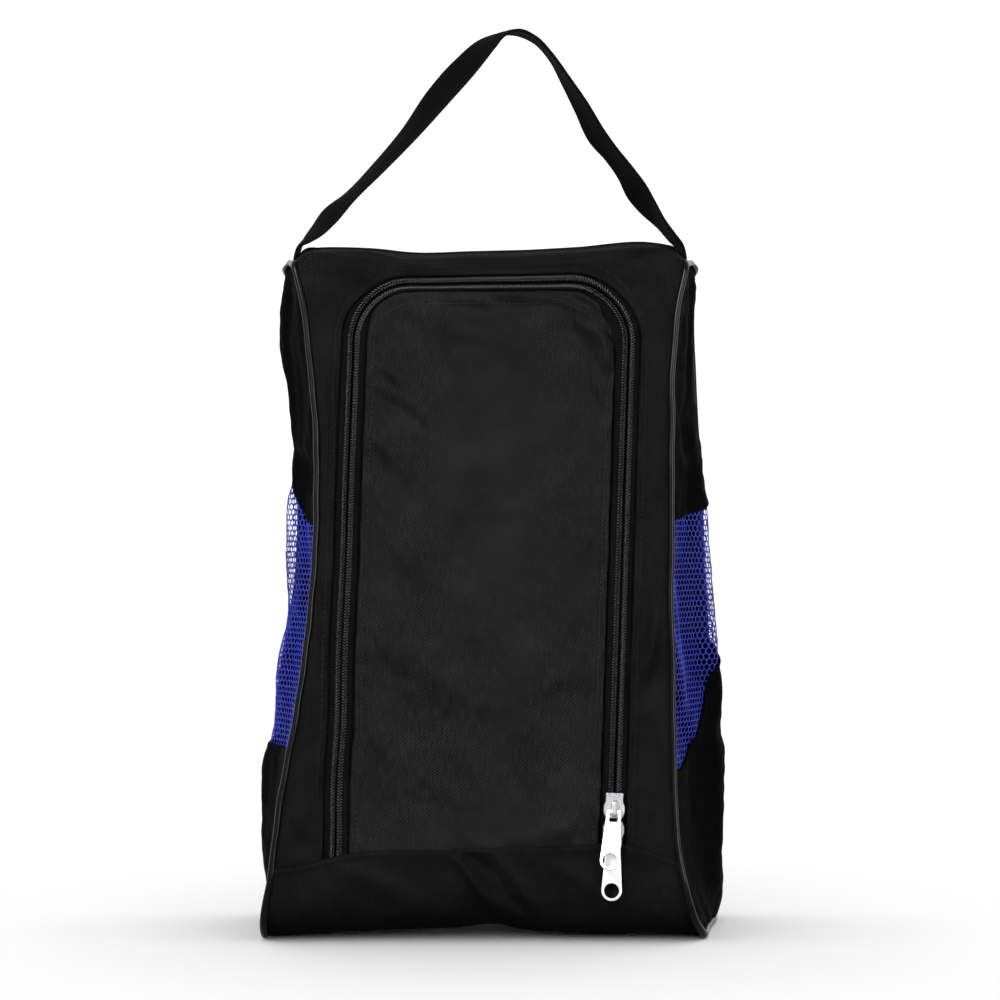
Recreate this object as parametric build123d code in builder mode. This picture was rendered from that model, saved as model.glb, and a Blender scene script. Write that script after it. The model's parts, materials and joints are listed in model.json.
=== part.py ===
"""Golf shoe bag: a soft zipped case that tapers towards its top, with piped mesh side panels and a webbing handle.

Frame: +Z up, +X to the right seen from the front, the front faces -Y. The origin is the middle of the base,
on the surface that the bag stands on. Millimetres.

The front, bottom and back panels are one band that follows the bag's side outline; two side panels close its
ends. The front panel has an arched cut-out, closed by a flap on a two-slider coil zipper.
"""

from build123d import *

import os
from math import radians, tan

os.makedirs("parts", exist_ok=True)

# --- Bag outline, seen from the side (Y and Z) ---
HEIGHT = 347.0            # base to the ridge seam
BASE_HALF_DEPTH = 63.0    # front and back faces, carried down to the base plane
LEAN = 0.1                # the faces come inward this much per millimetre of height
SHOULDER_Z = 341.0        # where the front and back faces fold over to the ridge
BASE_RADIUS = 32.0
SHOULDER_RADIUS = 6.0
RIDGE_RADIUS = 6.0

# --- Half widths at several heights: (z, at the front edge, at the back edge) ---
STATIONS = [
    (-2.0, 110.0, 115.0),
    (45.0, 101.5, 118.5),
    (100.0, 94.5, 117.0),
    (170.0, 89.5, 111.5),
    (245.0, 88.5, 107.0),
    (300.0, 92.0, 105.0),
    (350.0, 98.5, 104.5),
]
SIDE_BULGE = 4.0          # outward crown of a side panel between its two edges

# --- Cloth ---
CLOTH = 1.2
SEAM_GAP = 0.1            # room left between sewn pieces
SEAM_Z = 47.0             # seam between the front panel and the bottom panel
BINDING = 1.6
BINDING_WIDTH = 8.0
RIDGE_BINDING_END = 88.0  # the ridge's binding stops here, short of the side bindings
PIPING_RADIUS = 2.0
PIPING_SEAT = 0.8         # share of the piping's radius that it stands out past a panel's edge
PIPING_FLARE = 2.2        # how much wider than the panels it goes at the base, in piping radii
CORD_RADIUS, CORD_ROOM = 1.2, 0.02
SHARP_TURN = 15.0         # degrees; a piping bends tightly where it turns more than this
GENTLE_RADIUS, GENTLE_SHARE = 400.0, 0.25      # the other bends: largest radius, and share of a run

# --- Mesh windows: heights of the upper and lower seams at the front and back edges ---
MESH_TOP_FRONT, MESH_TOP_BACK = 209.0, 236.0
MESH_LOW_FRONT, MESH_LOW_BACK = 92.0, 142.0
MESH_SAG = 10.0           # the lower seam bows down this much
WINDOW_OVERRUN = 5.0      # the seams' lines run on past the side panel's edges

# --- Zipper: the middle line of the coil chain, across (X) and up the front face ---
CHAIN_LEFT_LOW, CHAIN_RIGHT_LOW = -77.0, 61.0
CHAIN_LEFT_TOP, CHAIN_RIGHT_TOP = -68.0, 71.0
CHAIN_TOP = 329.0
CHAIN_CORNER = 30.0
CHAIN_START = SEAM_Z + 0.5
CHAIN_RUN_ON = 40.0       # its legs are drawn on below the seam, to be trimmed
TAPE = 0.8
TAPE_INNER, TAPE_OUTER = 15.0, 8.0
COIL_IN, COIL_OUT, COIL_HEIGHT = 0.6, 3.6, 2.1
SURROUND_EDGE = 6.2       # cut-out edge of the front panel, from the chain line
FLAP_EDGE = 8.5           # flap edge, from the chain line
FOLD_HEIGHT = 82.0        # the flap folds here, just above the parked sliders
FOLD_OUT = 1.2            # the fold line is this far in front of the cloth's face, clear of the coil

# --- Sliders ---
SLIDER_LENGTH = 12.5
SLIDER_NARROW, SLIDER_WIDE = 4.3, 5.25
SLIDER_PLATE = 1.2
SLIDER_CHANNEL = 3.75     # half width of the room for the chain between the flanges
SLIDER_FLANGE = 0.6       # the flanges reach this far behind the cloth's face
SLIDER_WAIST = 2.0        # where the plate starts to widen, from its middle
SHOULDER_HIGH, SHOULDER_LOW = 0.5, 3.4          # its widest part, from its middle
SLIDER_TAPER = 0.2        # how much narrower the shouldered end is than the other
SLIDER_CORNER, SLIDER_BEVEL = 0.5, 0.3
POST_FROM_END = 3.2
POST_WIDTH, POST_LENGTH = 0.9, 3.6
LOWER_SLIDER_AT, UPPER_SLIDER_AT = 6.8, 20.8    # middle of each body, up the chain from its start
TOP_PLATE_AT = 1.1        # underside of the top plate, in front of the cloth's outer face
BOTTOM_PLATE_AT = -3.6
CROWN_LOW, CROWN_HIGH = -5.5, 2.6
CROWN_WIDTH, CROWN_RISE, CROWN_BAR = 2.4, 3.4, 1.0
CROWN_FOOT, CROWN_RADIUS = 1.2, 1.8
PIVOT_UP, PIVOT_OUT = -2.9, 3.5                 # tab pivot from the slider's middle and the cloth's face
TAB_LENGTH, TAB_THICK = 31.0, 1.2
TAB_TOP, TAB_END, TAB_HOLE = 3.4, 5.1, 3.7
TAB_BAR = 0.75            # half height of the bar that the crown holds
TAB_WINDOW = (4.4, 5.2)   # the opening below the bar
TAB_CORNER, TAB_BEVEL = 1.2, 0.25
UPPER_TAB_LEAN, UPPER_TAB_SWING = 17.0, -9.0    # outward lean and sideways tilt, degrees
LOWER_TAB_LEAN, LOWER_TAB_SWING = -3.0, -2.5

# --- Handle ---
STRAP_WIDTH, STRAP_THICK = 20.0, 1.4
HANDLE_AXIS_Z = 361.0
HANDLE_PATH = [
    (-98.5, 361), (-79, 373), (-33, 421), (-5, 458), (12, 464),
    (27, 453), (52, 413), (81, 372), (98.5, 361),
]
ANCHOR_LOW, ANCHOR_HIGH = 347.2, 368.0          # the sewn ends stand on the ridge, beside the strap
ANCHOR_BESIDE = 1.4       # their middle is this many strap thicknesses outside the strap's end
STRAP_BEND, STRAP_BEND_SHARE = 200.0, 0.45      # its bends: largest radius, and share of a run

LEAN_NORM = (1 + LEAN**2) ** 0.5
UP_FRONT = Vector(0, LEAN / LEAN_NORM, 1 / LEAN_NORM)
OUT_FRONT = Vector(0, -1 / LEAN_NORM, LEAN / LEAN_NORM)
FRONT = Plane(origin=(0, -BASE_HALF_DEPTH, 0), x_dir=(1, 0, 0), z_dir=OUT_FRONT)
REACH = 160.0             # half length of a cutting block across the bag
OVERLAP = 3.0             # how far a cutting shape runs past the surface that it cuts
SIDES = {"left": -1, "right": 1}


def front_point(x, up, out=0.0):
    """A point on the front face: across, up the face, and outward from it."""
    return Vector(x, -BASE_HALF_DEPTH, 0) + UP_FRONT * up + OUT_FRONT * out


def up_the_front(z):
    """How far up the front face the height z is."""
    return z * LEAN_NORM


def save(builder, name):
    """Labels a finished piece and writes it."""
    builder.part.label = name
    export_step(builder.part, f"parts/{name}.step")


# --- Outline and envelope ------------------------------------------------------------------------------------
def outline(inset):
    """The bag's side outline in the YZ plane, moved inward by inset."""
    shoulder = BASE_HALF_DEPTH - LEAN * SHOULDER_Z
    with BuildSketch(Plane.YZ) as side:
        Polygon(
            (-BASE_HALF_DEPTH, 0),
            (BASE_HALF_DEPTH, 0),
            (shoulder, SHOULDER_Z),
            (0, HEIGHT),
            (-shoulder, SHOULDER_Z),
            align=None,
        )
        fillet(side.vertices().sort_by(Axis.Y)[-1], RIDGE_RADIUS)
        fillet(side.vertices().filter_by(lambda corner: corner.Y == SHOULDER_Z), SHOULDER_RADIUS)
        fillet(side.vertices().sort_by(Axis.Y)[:2], BASE_RADIUS)
        if inset:
            offset(amount=-inset)
    return side.sketch


def envelope(inset):
    """The space between the two side panels' outer faces, each moved inward by inset."""
    with BuildPart() as space:
        for z, front, back in STATIONS:
            face = BASE_HALF_DEPTH - LEAN * z
            past = face + OVERLAP
            crown = (front + back) / 2 + SIDE_BULGE - inset
            front_x, back_x = front - inset, back - inset
            with BuildSketch(Plane.XY.offset(z)):
                with BuildLine():
                    ThreePointArc((-front_x, -face), (-crown, 0), (-back_x, face))
                    Polyline((-back_x, face), (-back_x, past), (back_x, past), (back_x, face))
                    ThreePointArc((back_x, face), (crown, 0), (front_x, -face))
                    Polyline((front_x, -face), (front_x, -past), (-front_x, -past), (-front_x, -face))
                make_face()
        loft(ruled=True)
    return space.part


def band(low_inset, high_inset):
    """A slab between two insets of the side outline, right across the bag."""
    with BuildPart() as slab:
        add(extrude(outline(low_inset), amount=REACH, both=True, mode=Mode.PRIVATE))
        add(extrude(outline(high_inset), amount=REACH, both=True, mode=Mode.PRIVATE), mode=Mode.SUBTRACT)
    return slab.part


SPACE = envelope(0)
SPACE_CLOTH = envelope(CLOTH + SEAM_GAP)
SPACE_BINDING = envelope(CLOTH + SEAM_GAP + BINDING)
BAND_CLOTH = band(0, CLOTH)


# --- Band: front, bottom and back panels ---------------------------------------------------------------------
def chain_area(grow):
    """The area inside the chain line on the front face, grown outward by grow, from well below the seam."""
    low = up_the_front(CHAIN_START)
    high = up_the_front(CHAIN_TOP)
    left_slope = (CHAIN_LEFT_TOP - CHAIN_LEFT_LOW) / (high - low)
    right_slope = (CHAIN_RIGHT_TOP - CHAIN_RIGHT_LOW) / (high - low)
    with BuildSketch() as area:
        Polygon(
            (CHAIN_LEFT_LOW - CHAIN_RUN_ON * left_slope, low - CHAIN_RUN_ON),
            (CHAIN_RIGHT_LOW - CHAIN_RUN_ON * right_slope, low - CHAIN_RUN_ON),
            (CHAIN_RIGHT_TOP, high),
            (CHAIN_LEFT_TOP, high),
            align=None,
        )
        fillet(area.vertices().sort_by(Axis.Y)[-2:], CHAIN_CORNER)
        if grow:
            offset(amount=grow)
    return area.sketch


def face_layer(outer, inner, low, high, bottom, top):
    """A layer on the front face between two grown chain areas, between two heights outward and two up the face."""
    areas = [chain_area(grow) for grow in (outer, inner) if grow is not None]
    with BuildPart() as layer:
        with BuildSketch(FRONT.offset(low)):
            add(areas[0])
            if inner is not None:
                add(areas[1], mode=Mode.SUBTRACT)
            with Locations((0, (bottom + top) / 2)):
                Rectangle(2 * REACH, top - bottom, mode=Mode.INTERSECT)
        extrude(amount=high - low)
    return layer


def block(low, high):
    """A box between two corners, for cutting."""
    with BuildPart() as cutter:
        with Locations(tuple((a + b) / 2 for a, b in zip(low, high))):
            Box(*(b - a for a, b in zip(low, high)))
    return cutter.part


def make_band():
    cut_out = chain_area(SURROUND_EDGE)
    with BuildPart() as front_panel:
        add(BAND_CLOTH)
        add(SPACE_CLOTH, mode=Mode.INTERSECT)
        add(block((-REACH, -REACH, SEAM_Z), (REACH, -SEAM_GAP / 2, 2 * HEIGHT)), mode=Mode.INTERSECT)
        with BuildSketch(FRONT.offset(-3 * CLOTH)):
            add(cut_out)
        extrude(amount=6 * CLOTH, mode=Mode.SUBTRACT)
    save(front_panel, "front_panel")

    with BuildPart() as bottom_panel:
        add(BAND_CLOTH)
        add(SPACE_CLOTH, mode=Mode.INTERSECT)
        add(block((-REACH, -REACH, -REACH), (REACH, REACH, SEAM_Z - SEAM_GAP)), mode=Mode.INTERSECT)
    save(bottom_panel, "bottom_panel")

    with BuildPart() as back_panel:
        add(BAND_CLOTH)
        add(SPACE_CLOTH, mode=Mode.INTERSECT)
        add(block((-REACH, SEAM_GAP / 2, SEAM_Z), (REACH, REACH, 2 * HEIGHT)), mode=Mode.INTERSECT)
    save(back_panel, "back_panel")

    with BuildPart() as ridge_binding:
        add(band(CLOTH + SEAM_GAP, CLOTH + SEAM_GAP + BINDING))
        add(SPACE_BINDING, mode=Mode.INTERSECT)
        half = BINDING_WIDTH / 2
        add(block((-REACH, -half, HEIGHT / 2), (REACH, half, 2 * HEIGHT)), mode=Mode.INTERSECT)
        end = RIDGE_BINDING_END
        add(block((-end, -REACH, 0), (end, REACH, 2 * HEIGHT)), mode=Mode.INTERSECT)
    save(ridge_binding, "ridge_seam_binding")


# --- Side panels ---------------------------------------------------------------------------------------------
def side_shell(side, outer_space, inner_space):
    """The skin between two envelopes, on one side of the bag."""
    with BuildPart() as shell:
        add(outer_space)
        add(inner_space, mode=Mode.SUBTRACT)
        with Locations((side * REACH, 0, HEIGHT / 2)):
            Box(2 * REACH, 2 * REACH, 2 * HEIGHT, mode=Mode.INTERSECT)
    return shell.part


def window_area(grow):
    """The mesh window's outline in the YZ plane, reaching past both edges of the side panel."""
    edge = BASE_HALF_DEPTH + WINDOW_OVERRUN
    with BuildSketch(Plane.YZ) as window:
        with BuildLine():
            Line((-edge, MESH_LOW_FRONT - grow), (-edge, MESH_TOP_FRONT + grow))
            Line((-edge, MESH_TOP_FRONT + grow), (edge, MESH_TOP_BACK + grow))
            Line((edge, MESH_TOP_BACK + grow), (edge, MESH_LOW_BACK - grow))
            middle = (MESH_LOW_FRONT + MESH_LOW_BACK) / 2 - MESH_SAG
            ThreePointArc((edge, MESH_LOW_BACK - grow), (0, middle - grow), (-edge, MESH_LOW_FRONT - grow))
        make_face()
    return window.sketch


def beyond_window(way):
    """The YZ area above (way 1) or below (way -1) the mesh window."""
    window = window_area(SEAM_GAP)
    middle = (MESH_TOP_FRONT + MESH_LOW_BACK) / 2
    with BuildSketch(Plane.YZ) as half:
        with Locations((0, middle + way * HEIGHT)):
            Rectangle(2 * BASE_HALF_DEPTH, 2 * HEIGHT)
        add(Plane.YZ.to_local_coords(window), mode=Mode.SUBTRACT)
    return half.sketch


def make_sides():
    side_profile = outline(0)
    ring = band(CLOTH + SEAM_GAP, CLOTH + SEAM_GAP + BINDING_WIDTH)
    for name, side in SIDES.items():
        whole = side_shell(side, SPACE, envelope(CLOTH))
        for label, area in (
            ("side_mesh", window_area(0)),
            ("side_upper", beyond_window(1)),
            ("side_lower", beyond_window(-1)),
        ):
            with BuildPart() as panel:
                add(whole)
                add(extrude(side_profile, amount=side * REACH, mode=Mode.PRIVATE), mode=Mode.INTERSECT)
                add(extrude(area, amount=side * REACH, mode=Mode.PRIVATE), mode=Mode.INTERSECT)
            save(panel, f"{name}_{label}")
        with BuildPart() as binding:
            add(side_shell(side, SPACE_CLOTH, SPACE_BINDING))
            add(ring, mode=Mode.INTERSECT)
        save(binding, f"{name}_seam_binding")


# --- Piping --------------------------------------------------------------------------------------------------
def piping_points(side):
    """Corners of a piping's route: from the middle of the base, up the front, over the ridge and down the back."""
    corner = PIPING_SEAT * (PIPING_RADIUS + SEAM_GAP)
    over = PIPING_RADIUS + 2 * SEAM_GAP
    front, back = [], []
    for z, at_front, at_back in STATIONS[1:-1]:
        depth = BASE_HALF_DEPTH - LEAN * z + corner
        front.append((at_front + corner, -depth, z))
        back.append((at_back + corner, depth, z))
    depth = BASE_HALF_DEPTH - LEAN * SHOULDER_Z + corner
    _, top_front, top_back = STATIONS[-1]
    middle = (top_front + top_back) / 2 + SIDE_BULGE
    roof = [
        (top_front + corner / 2, -depth, SHOULDER_Z + PIPING_SEAT * over),
        (middle + corner, 0, HEIGHT + over),
        (top_back + corner, depth, SHOULDER_Z + PIPING_SEAT * over),
    ]
    _, base_front, base_back = STATIONS[0]
    middle = (base_front + base_back) / 2 + SIDE_BULGE + over
    depth = BASE_HALF_DEPTH + corner
    low_front = (base_front + PIPING_FLARE * over, -depth, PIPING_RADIUS)
    low_back = (base_back + PIPING_FLARE * over, depth, PIPING_RADIUS)
    start = (middle, -SEAM_GAP, PIPING_RADIUS)
    end = (middle, SEAM_GAP, PIPING_RADIUS)
    route = [start, low_front] + front + roof + back[::-1] + [low_back, end]
    return [(side * x, y, z) for x, y, z in route]


def piping_radii(points):
    """A radius for each corner of a piping's route, by how sharply it turns."""
    radii = []
    for before, here, after in zip(points, points[1:], points[2:]):
        first = Vector(*here) - Vector(*before)
        second = Vector(*after) - Vector(*here)
        turn = first.get_angle(second)
        if here[2] < SEAM_Z / 2:
            radii.append(BASE_RADIUS + PIPING_RADIUS)
        elif turn > SHARP_TURN:
            radii.append(SHOULDER_RADIUS + PIPING_RADIUS)
        else:
            room = GENTLE_SHARE * min(first.length, second.length)
            radii.append(min(GENTLE_RADIUS, room / tan_half(turn)))
    return radii


def tan_half(turn):
    """The tangent of half an angle in degrees."""
    return tan(radians(turn / 2))


def make_piping():
    for name, side in SIDES.items():
        points = piping_points(side)
        with BuildLine() as route:
            FilletPolyline(*points, radius=piping_radii(points))
        path = route.wires()[0]
        start = Plane(origin=path @ 0, z_dir=path % 0)
        with BuildPart() as cover:
            with BuildSketch(start):
                Circle(PIPING_RADIUS)
                Circle(CORD_RADIUS + CORD_ROOM, mode=Mode.SUBTRACT)
            sweep(path=path)
        save(cover, f"{name}_piping")
        with BuildPart() as cord:
            with BuildSketch(start):
                Circle(CORD_RADIUS)
            sweep(path=path)
        save(cord, f"{name}_piping_cord")


# --- Flap and zipper -----------------------------------------------------------------------------------------
def make_flap_and_zipper():
    start = up_the_front(CHAIN_START)
    fold = up_the_front(FOLD_HEIGHT)
    top = up_the_front(HEIGHT)
    tape_low = -CLOTH - SEAM_GAP - TAPE
    layers = [
        ("flap", -FLAP_EDGE, None, -CLOTH, 0.0),
        ("flap_zipper_tape", -COIL_IN, -TAPE_INNER, tape_low, tape_low + TAPE),
        ("flap_zipper_coil", -COIL_IN, -COIL_OUT, -CLOTH, -CLOTH + COIL_HEIGHT),
    ]
    for name, outer, inner, low, high in layers:
        save(face_layer(outer, inner, low, high, start, fold - SEAM_GAP), f"{name}_foot")
        save(face_layer(outer, inner, low, high, fold + SEAM_GAP, top), name)
    save(face_layer(TAPE_OUTER, COIL_IN, tape_low, tape_low + TAPE, start, top), "front_zipper_tape")
    save(face_layer(COIL_OUT, COIL_IN, -CLOTH, -CLOTH + COIL_HEIGHT, start, top), "front_zipper_coil")


# --- Sliders and pull tabs -----------------------------------------------------------------------------------
RUN = Vector(CHAIN_RIGHT_TOP - CHAIN_RIGHT_LOW, up_the_front(CHAIN_TOP) - up_the_front(CHAIN_START), 0).normalized()
RUN_UP = Vector(1, 0, 0) * RUN.X + UP_FRONT * RUN.Y
RUN_ACROSS = Vector(1, 0, 0) * RUN.Y - UP_FRONT * RUN.X


def chain_point(along, out):
    """A point on the right-hand chain line: along it from its start, and outward from the cloth's face."""
    return front_point(CHAIN_RIGHT_LOW, up_the_front(CHAIN_START)) + RUN_UP * along + OUT_FRONT * out


def slider_outline(wide_down):
    """A slider plate seen from the front, with its wide end up or down."""
    end = SLIDER_LENGTH / 2
    way = 1 if wide_down else -1
    with BuildSketch() as plate:
        Polygon(
            (-SLIDER_NARROW, way * end),
            (SLIDER_NARROW, way * end),
            (SLIDER_NARROW, way * SLIDER_WAIST),
            (SLIDER_WIDE, -way * SHOULDER_HIGH),
            (SLIDER_WIDE, -way * SHOULDER_LOW),
            (SLIDER_NARROW - SLIDER_TAPER, -way * end),
            (-SLIDER_NARROW + SLIDER_TAPER, -way * end),
            (-SLIDER_WIDE, -way * SHOULDER_LOW),
            (-SLIDER_WIDE, -way * SHOULDER_HIGH),
            (-SLIDER_NARROW, way * SLIDER_WAIST),
            align=None,
        )
        fillet(plate.vertices(), SLIDER_CORNER)
    return plate.sketch


def make_slider(name, along, wide_down):
    """A slider body: two plates held apart by a post, with side flanges, and a separate crown over its front."""
    base = Plane(origin=chain_point(along, 0), x_dir=RUN_ACROSS, z_dir=OUT_FRONT)
    way = 1 if wide_down else -1
    post = SLIDER_LENGTH / 2 - POST_FROM_END
    with BuildPart() as body:
        for at in (BOTTOM_PLATE_AT, TOP_PLATE_AT):
            with BuildSketch(base.offset(at)):
                add(slider_outline(wide_down))
            extrude(amount=SLIDER_PLATE)
        chamfer(body.faces().sort_by(Axis(base.origin, base.z_dir))[-1].edges(), SLIDER_BEVEL)
        with BuildSketch(base.offset(-SLIDER_FLANGE)):
            add(slider_outline(wide_down))
            Rectangle(2 * SLIDER_CHANNEL, 2 * SLIDER_LENGTH, mode=Mode.SUBTRACT)
        extrude(amount=TOP_PLATE_AT + SLIDER_FLANGE)
        with BuildSketch(base.offset(BOTTOM_PLATE_AT + SLIDER_PLATE)):
            with Locations((0, -way * post)):
                Rectangle(POST_WIDTH, POST_LENGTH)
        extrude(amount=TOP_PLATE_AT - BOTTOM_PLATE_AT - SLIDER_PLATE)
    save(body, f"{name}_slider_body")

    face = TOP_PLATE_AT + SLIDER_PLATE
    profile = Plane(origin=base.origin, x_dir=base.y_dir, z_dir=base.x_dir)
    with BuildPart() as crown:
        with BuildSketch(profile) as arch:
            middle = (CROWN_LOW + CROWN_HIGH) / 2
            length = CROWN_HIGH - CROWN_LOW
            with Locations((middle, face + CROWN_RISE / 2)):
                Rectangle(length, CROWN_RISE)
            fillet(arch.vertices().group_by(Axis.Y)[-1], CROWN_RADIUS)
            with Locations((middle, face + (CROWN_RISE - CROWN_BAR) / 2)):
                Rectangle(length - 2 * CROWN_FOOT, CROWN_RISE - CROWN_BAR, mode=Mode.SUBTRACT)
        extrude(amount=CROWN_WIDTH / 2, both=True)
    save(crown, f"{name}_slider_crown")


def make_tab(name, along, lean, swing):
    """A pull tab hanging from its crown: a bar and window at the top, a round end with a hole below."""
    pivot = chain_point(along + PIVOT_UP, PIVOT_OUT)
    hang = Plane(origin=pivot, x_dir=RUN_ACROSS, z_dir=OUT_FRONT)
    hang = hang.rotated((-lean, 0, 0)).rotated((0, 0, swing))
    end = TAB_LENGTH - TAB_BAR - TAB_END
    with BuildPart() as tab:
        with BuildSketch(hang.offset(-TAB_THICK / 2)) as blade:
            Polygon((-TAB_TOP, TAB_BAR), (TAB_TOP, TAB_BAR), (TAB_END, -end), (-TAB_END, -end), align=None)
            fillet(blade.vertices().group_by(Axis.Y)[-1], TAB_CORNER)
            with Locations((0, -end)):
                Circle(TAB_END)
                Circle(TAB_HOLE, mode=Mode.SUBTRACT)
            with Locations((0, -TAB_BAR - TAB_WINDOW[1] / 2)):
                RectangleRounded(*TAB_WINDOW, TAB_CORNER, mode=Mode.SUBTRACT)
        extrude(amount=TAB_THICK)
        flats = tab.faces().sort_by(Axis(hang.origin, hang.z_dir))
        chamfer(flats[0].outer_wire().edges() + flats[-1].outer_wire().edges(), TAB_BEVEL)
    save(tab, f"{name}_pull_tab")
    print(name, "tab pivot", pivot, "axis", -hang.x_dir)


# --- Handle --------------------------------------------------------------------------------------------------
def make_handle():
    radii = []
    for before, here, after in zip(HANDLE_PATH, HANDLE_PATH[1:], HANDLE_PATH[2:]):
        first = Vector(*here) - Vector(*before)
        second = Vector(*after) - Vector(*here)
        room = STRAP_BEND_SHARE * min(first.length, second.length)
        radii.append(min(STRAP_BEND, room / tan_half(first.get_angle(second))))
    with BuildPart() as strap:
        with BuildSketch(Plane.XZ):
            with BuildLine():
                FilletPolyline(*HANDLE_PATH, radius=radii)
            trace(line_width=STRAP_THICK)
        extrude(amount=STRAP_WIDTH / 2, both=True)
    save(strap, "handle_strap")
    for name, side in SIDES.items():
        end_x = HANDLE_PATH[0][0] if side < 0 else HANDLE_PATH[-1][0]
        with BuildPart() as anchor:
            with Locations((end_x + side * ANCHOR_BESIDE * STRAP_THICK, 0, (ANCHOR_LOW + ANCHOR_HIGH) / 2)):
                Box(STRAP_THICK, STRAP_WIDTH, ANCHOR_HIGH - ANCHOR_LOW)
        save(anchor, f"{name}_handle_end")


make_band()
make_sides()
make_piping()
make_flap_and_zipper()
make_slider("upper", UPPER_SLIDER_AT, wide_down=True)
make_slider("lower", LOWER_SLIDER_AT, wide_down=False)
make_tab("upper", UPPER_SLIDER_AT, UPPER_TAB_LEAN, UPPER_TAB_SWING)
make_tab("lower", LOWER_SLIDER_AT, LOWER_TAB_LEAN, LOWER_TAB_SWING)
make_handle()
print("slider travel axis", RUN_UP)
print("flap fold line", front_point(0, up_the_front(FOLD_HEIGHT), FOLD_OUT))
print("handle swing line", HANDLE_AXIS_Z)
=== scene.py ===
"""Golf shoe bag: the visual model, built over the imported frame. Metres, +Z up, the front faces -Y."""
import json
import math

import bmesh
import bpy
import numpy as np
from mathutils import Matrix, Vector

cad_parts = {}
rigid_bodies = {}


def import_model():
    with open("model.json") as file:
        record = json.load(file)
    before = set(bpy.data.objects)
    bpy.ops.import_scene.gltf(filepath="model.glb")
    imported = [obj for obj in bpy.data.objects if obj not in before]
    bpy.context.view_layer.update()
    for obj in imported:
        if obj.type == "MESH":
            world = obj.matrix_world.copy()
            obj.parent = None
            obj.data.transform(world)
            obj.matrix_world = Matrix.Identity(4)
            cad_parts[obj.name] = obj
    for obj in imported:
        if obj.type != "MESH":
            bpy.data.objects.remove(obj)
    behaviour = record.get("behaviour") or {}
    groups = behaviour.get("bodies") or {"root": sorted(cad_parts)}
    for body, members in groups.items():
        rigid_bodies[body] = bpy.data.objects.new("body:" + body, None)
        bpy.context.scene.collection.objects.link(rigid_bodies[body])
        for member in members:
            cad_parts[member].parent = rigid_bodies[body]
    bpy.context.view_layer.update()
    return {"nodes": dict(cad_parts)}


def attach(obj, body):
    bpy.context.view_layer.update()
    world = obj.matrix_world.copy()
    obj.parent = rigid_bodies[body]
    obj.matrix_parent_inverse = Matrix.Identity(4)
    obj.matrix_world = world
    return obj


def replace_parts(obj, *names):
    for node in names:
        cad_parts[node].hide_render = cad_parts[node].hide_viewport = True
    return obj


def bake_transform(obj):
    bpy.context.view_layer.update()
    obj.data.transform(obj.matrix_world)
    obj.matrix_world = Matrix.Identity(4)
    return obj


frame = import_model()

MM = 0.001


# ---- small tools
def curve(at, stations):
    """A smooth value through (place, value) stations, level beyond the ends."""
    xs = np.array([s[0] for s in stations], float)
    ys = np.array([s[1] for s in stations], float)
    slope = np.gradient(ys, xs)
    slope[0] = slope[-1] = 0
    at = np.clip(at, xs[0], xs[-1])
    i = np.clip(np.searchsorted(xs, at) - 1, 0, len(xs) - 2)
    h = xs[i + 1] - xs[i]
    t = (at - xs[i]) / h
    a, b = 2 * t**3 - 3 * t**2 + 1, t**3 - 2 * t**2 + t
    c, d = 3 * t**2 - 2 * t**3, t**3 - t**2
    return a * ys[i] + b * h * slope[i] + c * ys[i + 1] + d * h * slope[i + 1]


def ease(t):
    t = np.clip(t, 0, 1)
    return t * t * (3 - 2 * t)


# how the slack top of the case rises and falls along the ridge: (x, rise) in millimetres
RIDGE_LINE = [
    (-106, -6.2), (-102, -4.6), (-98.5, -1.0), (-95, 1.6), (-88, 2.2), (-70, 2.2), (-58, 1.6), (-41, -0.2),
    (-7, 0.4), (18, 1.0), (44, 2.4), (83, 4.8), (91, 3.6), (95, 2.4), (98.5, -1.0), (102, -4.6), (106, -6.2)]
SLACK_FROM, SLACK_OVER = 322 * MM, 24 * MM     # the heights over which the case takes up that line


def sink(x):
    """How far the slack top of the case stands above or below its CAD height."""
    return curve(x / MM, RIDGE_LINE) * MM


def lumps(p, size, seed):
    """Smooth unevenness between about -1 and 1, from a few slanted waves of about this size."""
    r = np.random.default_rng(seed)
    total = 0
    for _ in range(9):
        way = r.normal(size=p.shape[-1])
        way /= np.linalg.norm(way)
        total = total + np.sin(p @ way * 2 * math.pi / (size * r.uniform(0.6, 1.7)) + r.uniform(0, 6.28))
    return total / 4.2


def grid(rows, columns, wrap=False, start=0):
    """Quads of a grid of points, row by row."""
    i, j = np.meshgrid(np.arange(rows - 1), np.arange(columns if wrap else columns - 1), indexing="ij")
    k = (j + 1) % columns
    quads = np.stack([i * columns + j, i * columns + k, (i + 1) * columns + k, (i + 1) * columns + j], -1)
    return (quads.reshape(-1, 4) + start).tolist()


def added(name, data):
    """A new object in the scene."""
    thing = bpy.data.objects.new(name, data)
    bpy.context.scene.collection.objects.link(thing)
    return thing


def capped(count, sides):
    """Faces of an open tube of rings of points, with its two end faces."""
    last = (count - 1) * sides
    return grid(count, sides, wrap=True) + [list(range(sides))[::-1], [last + j for j in range(sides)]]


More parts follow.
